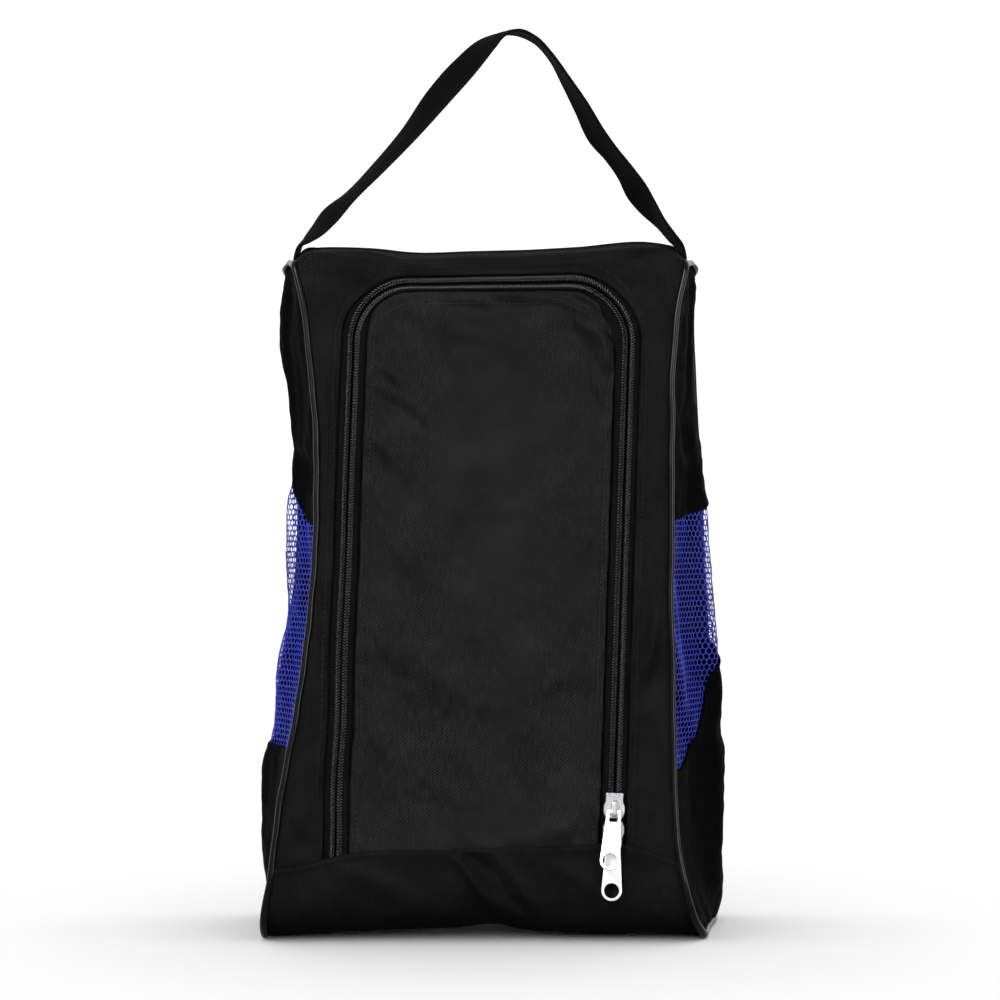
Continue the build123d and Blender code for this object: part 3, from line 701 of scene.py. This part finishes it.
def make_front():
    run = np.linspace(0, ZIP_LENGTH, 460)
    _, out = beside_zipper(run, 0 * run)
    inner, _ = beside_zipper(run, (6.2 - 2.3 * ease(1.4 * out[:, 1] - 0.4)) * MM)
    reach = np.full(len(run), FURTHEST)
    ups = np.linspace(20 * MM, RIDGE, 500)
    y, z, _, _ = around(ups)
    for side in (-1, 1):
        edge = edge_x(side, y, z)
        ahead = out[:, 0] * side > LEVEL
        sideways = np.where(np.abs(out[:, 0]) < LEVEL, 1, out[:, 0])
        for _ in range(12):
            tip = inner + out * reach[:, None]
            limit = (np.interp(tip[:, 1], ups, edge) - inner[:, 0]) / sideways
            reach = np.where(ahead, np.minimum(reach, np.maximum(limit, 0)), reach)
            short = ahead & (reach < limit) & (tip[:, 1] < RIDGE - 0.1 * MM)
            reach = np.where(short, np.minimum(limit, FURTHEST), reach)
    top = np.where(out[:, 1] > LEVEL, (RIDGE - 0.2 * MM - inner[:, 1]) / np.maximum(out[:, 1], LEVEL), 1)
    reach = np.minimum(reach, top)
    t = np.r_[np.linspace(0, 0.18, 12), np.linspace(0.18, 1, 24)[1:]]
    steps = reach[None] * t[:, None]
    x = inner[None, :, 0] + out[None, :, 0] * steps
    up = inner[None, :, 1] + out[None, :, 1] * steps
    p = onto(x, up, swell(x, up) + hem(steps))
    panel("case_front", p, x, up, INWARD, CASE_TWILL_PAINTED_SHADE, ["front_panel"])


make_front()

# ---- flap
def corner_slack(x, up):
    """The flap's edge is drawn in where the cloth puckers at its upper right corner."""
    away = np.hypot(x - 63 * MM, up - 316 * MM * LEAN_NORM) / MM
    return (3.4 * np.exp(-((away / 15) ** 2)) - 0.9 * np.exp(-(((away - 9) / 4) ** 2))) * MM


# in millimetres, from the chain's line to the flap's folded edge: along the legs and along the top
SIDE_GAP, TOP_GAP = 7.0, 4.0
FLAP_ROUND = 24 * MM


def flap_gap(run):
    """How far the flap's folded edge stays from the chain's line: closer along the top."""
    place, out = beside_zipper(run, 0 * run)
    gap = (SIDE_GAP - (SIDE_GAP - TOP_GAP) * ease(out[:, 1])) * MM + corner_slack(place[:, 0], place[:, 1])
    return gap + 0.35 * MM * lumps(run[:, None], 26 * MM, 12)


def make_flap():
    low = 36 * MM * LEAN_NORM
    run = np.linspace(0, ZIP_LENGTH, 1200)
    edge, _ = beside_zipper(run, -flap_gap(run))
    peak = int(np.argmax(edge[:, 1]))
    left, right = edge[: peak + 1], edge[peak:][::-1]
    top = min(left[-1, 1], right[-1, 1]) - 0.05 * MM
    rounded_ups = top - FLAP_ROUND * np.cos(np.linspace(0, math.pi / 2, 34)[1:])
    ups = np.clip(np.r_[np.linspace(low, top - FLAP_ROUND, 130), rounded_ups], None, top)
    x0, x1 = np.interp(ups, left[:, 1], left[:, 0]), np.interp(ups, right[:, 1], right[:, 0])
    across = 0.5 - 0.5 * np.cos(np.linspace(0, math.pi, 100))
    across = 0.6 * across + 0.4 * np.linspace(0, 1, 100)
    x = x0[:, None] + (x1 - x0)[:, None] * across[None]
    up = np.repeat(ups[:, None], 100, 1)
    order = np.argsort(edge[:, 0])
    brim = np.interp(x, edge[order, 0], edge[order, 1])
    up = up + np.clip(brim - top, 0, 2 * MM) * ease((up - top + 26 * MM) / (26 * MM))
    gap = SIDE_GAP * MM - (SIDE_GAP - TOP_GAP) * MM * ease((up - (top - 22 * MM)) / (20 * MM))
    inset = np.maximum(from_zipper(x, up) - gap - corner_slack(x, up), 0)
    p = onto(x, up, swell(x, up) + hem(inset) + 0.2 * MM)
    return panel("flap_cloth", p, x, up, INWARD, BLACK, ["flap", "flap_foot"], body=None)


def bends(thing):
    """Sets the piece's placement into its points."""
    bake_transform(thing)


bends(make_flap())


# ---- zipper tapes, coils and their stitches
TAPE_THICK, TAPE_DEPTH = 0.6 * MM, 1.15 * MM
TAPE_FLAT, TAPE_DROP = 5.4 * MM, 1.7 * MM       # flat as far out as the sliders reach, and lower past that
TRACK_SIDE, TRACK_HALF = 50 * MM, 7 * MM        # on the right leg, where the sliders run, it is almost level


def strip(name, offs, body=None):
    """One half's tape, with rows of points at these distances from the chain's line, in millimetres."""
    run = np.linspace(0, ZIP_LENGTH, 520)
    offs = np.array(offs) * MM
    rows = [beside_zipper(run, np.full(len(run), o))[0] for o in offs]
    x, up = np.stack([r[:, 0] for r in rows]), np.stack([r[:, 1] for r in rows])
    deep = TAPE_DEPTH + TAPE_DROP * ease((np.abs(offs) - TAPE_FLAT) / (1.2 * MM))[:, None]
    lift = swell(x, up)
    track = (np.abs(offs)[:, None] < TRACK_HALF) & (x > TRACK_SIDE)
    lift = np.where(track, np.clip(lift, -0.1 * MM, 0.3 * MM), lift)
    flat = np.stack([np.repeat(run[None], len(offs), 0), np.repeat(offs[:, None], len(run), 1)], -1)
    p = onto(x, up, lift - deep)
    return skin(name, p, INWARD, TAPE, thick=TAPE_THICK, body=body, cloth=flat)


def coil(name, way, body=None):
    """One half of the chain: a wound filament whose front strands slant towards the other half."""
    pitch, sides, per_turn = 1.42 * MM, 5, 12
    turns = int((ZIP_LENGTH - 16 * MM) / pitch)
    angle = np.linspace(0, 2 * math.pi * turns, turns * per_turn + 1)
    run = (8 + 0.36 * way) * MM + angle / (2 * math.pi) * pitch - 0.62 * MM * np.cos(angle)
    off = way * (1.85 + 1.40 * np.cos(angle)) * MM
    place, _ = beside_zipper(run, off)
    line, _ = beside_zipper(run, 0 * run)
    path = onto(place[:, 0], place[:, 1], swell(line[:, 0], line[:, 1]) + (-0.15 + 0.68 * np.sin(angle)) * MM)
    flat_top = 0.32 * MM * (1 + 0.12 * np.cos(angle))
    points, faces = tube(path, flat_top, sides, up=(0.05, 1, 0.13))
    return piece(name, points, faces, NYLON, body)


STITCH_RADIUS, STITCH_PITCH, STITCH_GAP = 0.24 * MM, 2.9 * MM, 0.8 * MM


def stitches(name, places, body=None):
    """Short thread stitches: each place is (start point, end point, outward direction)."""
    radius = STITCH_RADIUS
    parts = []
    for a, b, out in places:
        a, b, out = np.array(a), np.array(b), np.array(out)
        t = np.linspace(0, 1, 5)
        lift = np.array([-0.9, 0.35, 0.55, 0.35, -0.9]) * radius
        path = a + (b - a) * t[:, None] + out * lift[:, None]
        parts.append(tube(path, radius * np.array([0.6, 1, 1.05, 1, 0.6]), 5, up=np.cross(b - a, out) + 1e-9))
    points, faces = gather(parts)
    return piece(name, points, faces, THREAD, body)


def row_on_front(off, out):
    """Stitch places along the chain at a distance from it, lying on the cloth."""
    starts = np.arange(14 * MM, ZIP_LENGTH - 14 * MM, STITCH_PITCH)
    a, _ = beside_zipper(starts, np.full(len(starts), off))
    b, _ = beside_zipper(starts + STITCH_PITCH - STITCH_GAP, np.full(len(starts), off))
    pa, pb = (onto(q[:, 0], q[:, 1], swell(q[:, 0], q[:, 1]) + out) for q in (a, b))
    _, _, ny, nz = around(a[:, 1])
    return [(p, q, (0, y, z)) for p, q, y, z in zip(pa, pb, ny, nz)]


def make_zipper():
    inner = strip("flap_tape", [-0.6, -1.5, -5.5, -6.6, -15])
    outer = strip("front_tape", [0.6, 1.5, 5.5, 6.6, 9], "bag")
    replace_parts(inner, "flap_zipper_tape", "flap_zipper_tape_foot")
    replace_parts(outer, "front_zipper_tape")
    bends(inner)
    flap_coil = coil("flap_coil", -1)
    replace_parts(flap_coil, "flap_zipper_coil", "flap_zipper_coil_foot")
    bends(flap_coil)
    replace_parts(coil("front_coil", 1, "bag"), "front_zipper_coil")
    stitches("front_topstitch", row_on_front(9.3 * MM, 0.30 * MM), body="bag")
    bends(stitches("flap_topstitch", row_on_front(-10.2 * MM, 0.50 * MM)))


make_zipper()


# ---- bottom and back panels
# how far the limp base bows up across the case: (x, rise) in millimetres
BASE_ARCH = [
    (-108, 0), (-90, 1.0), (-55, 2.9), (-35, 3.3), (-17, 3.7), (-6.5, 4.9), (1.5, 5.4),
    (9, 4.6), (14, 3.3), (35, 1.6), (61, 1.0), (92, 1.2), (108, 0)]


BACK_SEAM = BACK_RIDGE + (RIDGE - 47 * MM * LEAN_NORM)      # where the bottom panel ends on the back


def make_bottom():
    across = np.linspace(0, 1, 150)
    t = np.r_[np.linspace(0, 0.10, 14), np.linspace(0.10, 1, 110)[1:]]
    middle = np.linspace(-1, 1, 150) * 100 * MM
    first = seam_height(middle) * LEAN_NORM
    up = first[None] + (BACK_SEAM - first)[None] * t[:, None]
    y, z, _, _ = around(up)
    x0, x1 = edge_x(-1, y, z), edge_x(1, y, z)
    x = x0 + (x1 - x0) * across[None]
    first = seam_height(x[0]) * LEAN_NORM
    up = first[None] + (BACK_SEAM - first)[None] * t[:, None]
    from_seam = (first[None] - up)
    share = np.clip(x / (100 * MM), -1, 1)
    y, z, _, _ = around(up)
    sag = -1.6 * MM * np.exp(-(((x / MM + 3) / 34) ** 2)) * np.exp(-(((up / MM - 8) / 22) ** 2))
    lift = 1.0 * MM * ease((30 * MM - np.abs(up + 60 * MM)) / (30 * MM))
    creased = folds(x, z) * ease((up - 2 * MM) / (12 * MM)) * ease(from_seam / (5 * MM))
    under = 0.5 * MM * lumps(np.stack([x, up], -1) / MM, 45, 8) * ease(-up / (20 * MM))
    edge = 1.6 * hem(from_seam) + 1.3 * MM * ease(1 - from_seam / (12 * MM))
    p = onto(x, up, edge + sag + creased + under - lift * share**2)
    p[..., 2] = np.maximum(p[..., 2], 0.4 * MM)
    p[..., 2] += curve(x / MM, BASE_ARCH) * MM * ease((50 * MM - p[..., 2]) / (50 * MM))
    panel("case_bottom", p, x, up, np.array([0, 0, 1.0]), CASE_TWILL_PAINTED_SHADE, ["bottom_panel"])


def make_back():
    ups = np.linspace(BACK_SEAM + 3 * MM, BACK_RIDGE + 0.2 * MM, 200)
    y, z, _, _ = around(ups)
    x0, x1 = edge_x(-1, y, z), edge_x(1, y, z)
    x = x0[:, None] + (x1 - x0)[:, None] * np.linspace(0, 1, 130)[None]
    up = np.repeat(ups[:, None], 130, 1)
    z = np.repeat(z[:, None], 130, 1)
    share = np.clip(x / (115 * MM), -1, 1)
    belly = 3.2 * MM * (1 - share**2) * ease(z / (80 * MM)) * ease((SHOULDER_Z - z) / (60 * MM))
    place = np.stack([x, z], -1) / MM
    broad, middling, fine = lumps(place * [1, 0.5], 75, 21), lumps(place, 28, 22), lumps(place, 9, 23)
    creased = (1.1 * broad + 0.45 * middling + 0.1 * fine) * MM
    creased *= ease((HEIGHT - z) / (25 * MM)) * ease((z - 40 * MM) / (30 * MM))
    creased += sampled(BACK_SLACK, BACK_UPS, FRONT_XS * 1.05, up, x / (x1 - x0)[:, None] * 210 * MM)
    p = onto(x, up, belly + creased + 0.6 * MM + hem(BACK_SEAM + 3 * MM - up))
    panel("case_back", p, x, up, -INWARD, CASE_TWILL_PAINTED_SHADE, ["back_panel"])


make_bottom()
make_back()


# ---- side panels and mesh windows
# the mesh windows' upper and lower seams, for each side: (y, z) in millimetres
WINDOW_TOP = {
    -1: [
        (-45, 205), (-15, 208), (0, 213), (8, 225), (15, 238), (30, 246), (45, 247)],
    1: [
        (-45, 208), (-20, 210), (10, 215), (45, 222)]}
WINDOW_LOW = {
    -1: [
        (-60, 95), (0, 94), (60, 96)],
    1: [
        (-60, 85), (-33, 86), (-20, 91), (-8, 102), (1, 114), (6, 127), (14, 137), (27, 143), (60, 146)]}


def on_side(side, y, z, out):
    return np.stack([side_x(side, y, z) + side * out, y, z], -1)


def side_folds(side, y, z):
    place = np.stack([y, z], -1) / MM
    from_edge = half_depth(z) - np.abs(y)
    edge = ease(from_edge / (7 * MM))
    slack = sampled(SIDE_SLACK[side], SIDE_ZS, SIDE_SHARES, z, y / half_depth(z))
    broad, fine = lumps(place * [1, 0.55], 34, 31 + side), lumps(place, 13, 34 + side)
    return slack * ease(from_edge / (16 * MM)) + (0.7 * broad + 0.35 * fine) * MM * edge


def level(line, y):
    """The height at each y of a seam, or of a plain number, in millimetres."""
    return (curve(y / MM, line) if isinstance(line, list) else line) * MM


def side_piece(name, side, low, high, replaced):
    """Black cloth between two heights, of which one is a seam and the other a number of millimetres."""
    columns, rows = 61, 90
    s, t = np.linspace(-1, 1, columns)[None], np.linspace(0, 1, rows)[:, None]
    z = np.full((rows, columns), 150 * MM)
    for _ in range(8):
        y = s * half_depth(z)
        z0, z1 = level(low, y), level(high, y)
        z = z0 + (z1 - z0) * t
    y = s * half_depth(z)
    to_mesh = np.abs(z - z1) if isinstance(high, list) else np.abs(z - z0)
    p = on_side(side, y, z, side_folds(side, y, z) + hem(to_mesh) + 0.3 * MM)
    panel(name, p, y, z, np.array([-side, 0, 0.0]), SIDE_TWILL_PAINTED_SHADE, [replaced])


def net(name, side, replaced):
    """Knitted mesh: six-sided cells of rounded yarn, open between."""
    pitch = 3.0 * MM
    rise = pitch * 0.92
    points, faces, known = [], [], {}

    def vertex(y, z, level):
        key = (round(y / MM * 20), round(z / MM * 20), level)
        if key not in known:
            known[key] = len(points)
            points.append((y, z, level))
        return known[key]

    half, near, far = 0.5 * pitch, 0.30 * rise, 0.70 * rise
    hexagon = [(half, near), (half, -near), (0, -far), (-half, -near), (-half, near), (0, far)]
    for j in range(-2, 70):
        zc = 84 * MM + j * rise
        for i in range(-24, 25):
            yc = (i + 0.5 * (j % 2)) * pitch
            z0, z1 = level(WINDOW_LOW[side], yc), level(WINDOW_TOP[side], yc)
            if not z0 - 2.5 * MM < zc < z1 + 2.5 * MM or abs(yc) > half_depth(zc) - 0.6 * MM:
                continue
            outer = []
            for (a, b), (c, d) in zip(hexagon, hexagon[1:] + hexagon[:1]):
                outer += [(yc + a, zc + b), (yc + (a + c) / 2, zc + (b + d) / 2)]
            hole = []
            for a, b in outer:
                dy, dz = a - yc, b - zc
                r = math.hypot(dy, dz)
                reach = 0.45 * r + 0.176 * pitch
                hole.append((yc + dy / r * reach * 0.95, zc + dz / r * reach))
            ring = [vertex(a, b, 0) for a, b in hole]
            front = [vertex(a, b, 1) for a, b in outer]
            back = [vertex(a, b, -1) for a, b in outer]
            for k in range(12):
                n = (k + 1) % 12
                faces.append([ring[k], ring[n], front[n], front[k]][:: -side])
                faces.append([ring[k], back[k], back[n], ring[n]][:: -side])
    flat = np.array(points)
    y, z = flat[:, 0], flat[:, 1]
    y = np.clip(y, -half_depth(z) + 0.4 * MM, half_depth(z) - 0.4 * MM)
    out = flat[:, 2] * 0.18 * MM + side_folds(side, y, z) * 0.9 - 0.6 * MM
    p = on_side(side, y, z, out)
    thing = piece(name, p, faces, MESH_BLUE, "bag")
    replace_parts(thing, replaced)


for label, side in SIDES:
    side_piece(f"{label}_upper_cloth", side, WINDOW_TOP[side], 346.2, f"{label}_side_upper")
    side_piece(f"{label}_lower_cloth", side, 0.6, WINDOW_LOW[side], f"{label}_side_lower")
    net(f"{label}_net", side, f"{label}_side_mesh")


# ---- piping
def piping_path(side, out_y, out_x):
    run = np.arange(0, RUN[-1], 2.0 * MM)
    up = RIDGE - run
    y, z, ny, nz = around(up)
    x = side_x(side, y, z) + side * out_x
    x = x + side * 0.25 * MM * lumps(run[:, None], 40 * MM, 50 + side)
    place = np.stack([x, y + ny * out_y, z + nz * out_y], 1)
    place[:, 2] = np.maximum(place[:, 2], 2.1 * MM)
    return place


for label, side in SIDES:
    path = piping_path(side, 0.7 * MM, 0.8 * MM)
    thinner, thicker = ease((path[:, 2] - 320 * MM) / (20 * MM)), ease((30 * MM - path[:, 2]) / (30 * MM))
    uneven = lumps(np.arange(len(path))[:, None] * 2.0, 30, 60 + side)
    size = (1.6 - 0.4 * thinner + 0.35 * thicker + 0.07 * uneven) * MM
    points, faces = tube(path, size, 12, closed=True, up=(1, 0, 0))
    bead = piece(f"{label}_bead", points, faces, PIPING, "bag")
    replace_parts(bead, f"{label}_piping", f"{label}_piping_cord")


# ---- seam bindings inside
def bound_seam(name, replaced, path, normal, width):
    """A folded tape over a raw seam: a flattened rounded strip along the path."""
    path, normal = np.asarray(path), np.asarray(normal)
    along = np.gradient(path, axis=0)
    along /= np.linalg.norm(along, axis=1, keepdims=True)
    side = np.cross(along, normal)
    turn = np.linspace(0, 2 * math.pi, 16, endpoint=False)
    squared = lambda a: np.sign(a) * np.abs(a) ** 0.5
    ring = squared(np.cos(turn))[None, :, None] * side[:, None] * width / 2
    ring = ring + squared(np.sin(turn))[None, :, None] * normal[:, None] * 0.8 * MM
    p = path[:, None] + ring
    flat = flat_grid((np.arange(len(path)) * 2 * MM)[:, None], (turn / 6.28 * width * 2)[None])
    thing = piece(name, p, capped(len(path), len(turn)), BINDING, "bag", cloth=flat)
    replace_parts(thing, replaced)


for label, side in SIDES:
    run = np.arange(0.5 * MM, RUN[-1] - 0.5 * MM, 3 * MM)
    y, z, ny, nz = around(RIDGE - run)
    y, z = y - ny * 6.5 * MM, z - nz * 6.5 * MM
    path = np.stack([side_x(side, y, z) - side * 3.6 * MM, y, z], 1)
    outward = np.repeat([[side, 0.0, 0.0]], len(path), 0)
    bound_seam(f"{label}_bound_seam", f"{label}_seam_binding", path, outward, 8 * MM)


# ---- ridge seam
xs = np.arange(-97 * MM, 97.01 * MM, 1 * MM)
path = np.stack([xs, 0.3 * MM * lumps(xs[:, None], 30 * MM, 71), HEIGHT + 0 * xs - 0.2 * MM], 1)
ridge_points, ridge_faces = tube(path, 0.95 * MM, 10, up=(0, 1, 0))
piece(
    "ridge_seam", ridge_points, ridge_faces, CASE_TWILL_PAINTED_SHADE, "bag", cloth=ridge_points[:, :2])
xs = np.arange(-88 * MM, 88 * MM, 2 * MM)
path = np.stack([xs, 0 * xs, HEIGHT - 5.5 * MM + 0 * xs], 1)
bound_seam("ridge_bound_seam", "ridge_seam_binding", path, np.repeat([[0, 1.0, 0.0]], len(path), 0), 7 * MM)

# ---- handle
# the webbing's middle line, in millimetres, and the sine of its turn there: (x, z, turn)
STRAP = [
    (-100.6, 338.5, 0.0), (-100.2, 345.0, 0.0), (-98.4, 350.5, 0.05), (-94.5, 354.5, 0.25),
    (-89.1, 359.5, 0.42), (-83.5, 366.0, 0.52), (-72.7, 376.5, 0.36), (-57.7, 391.8, 0.40),
    (-42.5, 408.5, 0.50), (-27.2, 427.9, 0.68), (-13.9, 442.8, 0.68), (-1.5, 455.0, 0.48),
    (6.6, 460.0, 0.18), (14.6, 461.0, 0.0), (23.4, 457.2, -0.02), (31.8, 448.3, -0.04),
    (39.5, 435.9, -0.16), (47.2, 422.8, -0.30), (55.9, 406.9, -0.40), (62.3, 399.0, -0.33),
    (70.1, 388.8, -0.38), (76.2, 378.9, -0.50), (81.3, 371.6, -0.40), (89, 362, -0.16),
    (94.2, 355.5, -0.12), (98.8, 350.0, -0.05), (100.2, 345.0, 0.0), (100.8, 338.5, 0.0)]


def make_handle():
    """Webbing: a woven strap that turns along its length, edge-on at its sewn ends and at its top."""
    stations = np.array(STRAP)
    run = np.r_[0, np.cumsum(np.linalg.norm(np.diff(stations[:, :2], axis=0), axis=1))]
    at = np.linspace(0, run[-1], 360)
    x = curve(at, list(zip(run, stations[:, 0])))
    z = curve(at, list(zip(run, stations[:, 1])))
    turn = np.arcsin(np.clip(curve(at, list(zip(run, stations[:, 2]))), -1, 1))
    middle = np.stack([x, 0.8 * np.sin(at / 37), z], 1) * MM
    along = np.gradient(middle, axis=0)
    along /= np.linalg.norm(along, axis=1, keepdims=True)
    flat = np.stack([-along[:, 2], 0 * at, along[:, 0]], 1)
    across = np.cos(turn)[:, None] * np.array([[0, 1.0, 0]]) + np.sin(turn)[:, None] * flat
    across -= along * np.sum(across * along, 1, keepdims=True)
    across /= np.linalg.norm(across, axis=1, keepdims=True)
    face = np.cross(along, across)
    s = np.linspace(-1, 1, 22)
    half, thick = 10 * MM, 0.75 * MM
    rib = 0.10 * MM * np.cos(s * math.pi * 9)
    edge = np.sqrt(np.clip(1 - np.clip((np.abs(s) - 0.90) / 0.10, 0, 1) ** 2, 0, 1))
    cup = 0.9 * MM * s**2
    front = (thick * (0.35 + 0.65 * edge) + rib * edge - cup)
    back = (-thick * (0.35 + 0.65 * edge) - rib * edge - cup)
    ring_s = np.r_[s, s[::-1]]
    ring_h = np.r_[front, back[::-1]]
    width, height = (ring_s * half)[None, :, None], ring_h[None, :, None]
    p = middle[:, None] + across[:, None] * width + face[:, None] * height
    cloth = flat_grid((ring_s * half)[None], (at * MM)[:, None])
    faces = capped(len(at), len(ring_s))
    strap = piece("webbing_handle", p, faces, WEBBING, cloth=cloth, settled=False)
    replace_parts(strap, "handle_strap", "left_handle_end", "right_handle_end")
    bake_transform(strap)


make_handle()

# ---- sliders and pull tabs
def cast(node, body):
    """The die-cast piece with its edges worn round, as a tumbled casting's are."""
    source = frame["nodes"][node]
    mesh = source.data.copy()
    mesh.transform(source.matrix_world)
    mesh.materials.clear()
    mesh.materials.append(PULL_ZINC if "pull" in node else ZINC)
    thing = added(node + "_cast", mesh)
    work = bmesh.new()
    work.from_mesh(mesh)
    bmesh.ops.remove_doubles(work, verts=work.verts, dist=0.004 * MM)
    bmesh.ops.dissolve_limit(work, angle_limit=0.02, verts=work.verts, edges=work.edges)
    sharp = [e for e in work.edges if len(e.link_faces) == 2 and e.calc_face_angle(0) > 0.6]
    bmesh.ops.bevel(work, geom=sharp, offset=0.16 * MM, segments=2, affect="EDGES", clamp_overlap=True)
    for face in work.faces:
        face.smooth = True
    work.to_mesh(mesh)
    work.free()
    soft = thing.modifiers.new("faces", "WEIGHTED_NORMAL")
    soft.keep_sharp = True
    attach(thing, body)
    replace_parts(thing, node)


for which in ("upper", "lower"):
    for part, carrier in (("slider_body", "slider"), ("slider_crown", "slider"), ("pull_tab", "pull")):
        cast(f"{which}_{part}", f"{which}_{carrier}")


# ---- floor, light and camera
def stage():
    m = Nodes("pale_floor", roughness=0.85, specular_ior_level=0.1)
    grain = m.add("TexNoise", scale=40.0, detail=3.0)
    m.set(m.shader, base_color=m.ramp(grain, (0.3, (0.96, 0.96, 0.96)), (0.7, (0.98, 0.98, 0.98))))
    points = [(-6, -6, 0), (6, -6, 0), (6, 6, 0), (-6, 6, 0)]
    mesh = bpy.data.meshes.new("floor")
    mesh.from_pydata(points, [], [(0, 1, 2, 3)])
    mesh.materials.append(m.material)
    floor = added("floor", mesh)
    floor.location.z = -0.2 * MM
    world = bpy.data.worlds.new("studio")
    bpy.context.scene.world = world
    world.use_nodes = True
    world.node_tree.nodes["Background"].inputs[0].default_value = (1, 1, 1, 1)
    world.node_tree.nodes["Background"].inputs[1].default_value = 1.10

    subject = bpy.data.collections.new("subject")
    for thing in bpy.context.scene.objects:
        if thing.type == "MESH" and thing is not floor:
            subject.objects.link(thing)

    def lamp(name, place, size, power):
        light = bpy.data.lights.new(name, "AREA")
        light.shape, light.size, light.size_y, light.energy = "RECTANGLE", size[0], size[1], power
        thing = added(name, light)
        thing.location = place
        thing.rotation_euler = (Vector((0, 0, 0.2)) - Vector(place)).to_track_quat("-Z", "Y").to_euler()
        thing.light_linking.receiver_collection = subject

    lamp("key", (-0.8, -1.6, 1.2), (0.8, 0.8), 125)
    lamp("fill", (1.5, -1.4, 0.45), (0.5, 1.0), 66)
    camera = bpy.data.cameras.new("camera")
    camera.lens, camera.sensor_width = 115.2, 36
    camera.clip_start, camera.clip_end = 0.05, 50
    thing = added("camera", camera)
    thing.location = (0.005, -1.646, 0.220)
    thing.rotation_euler = (math.pi / 2, 0, 0)
    bpy.context.scene.camera = thing
    bpy.context.scene.view_settings.view_transform = "Standard"


stage()
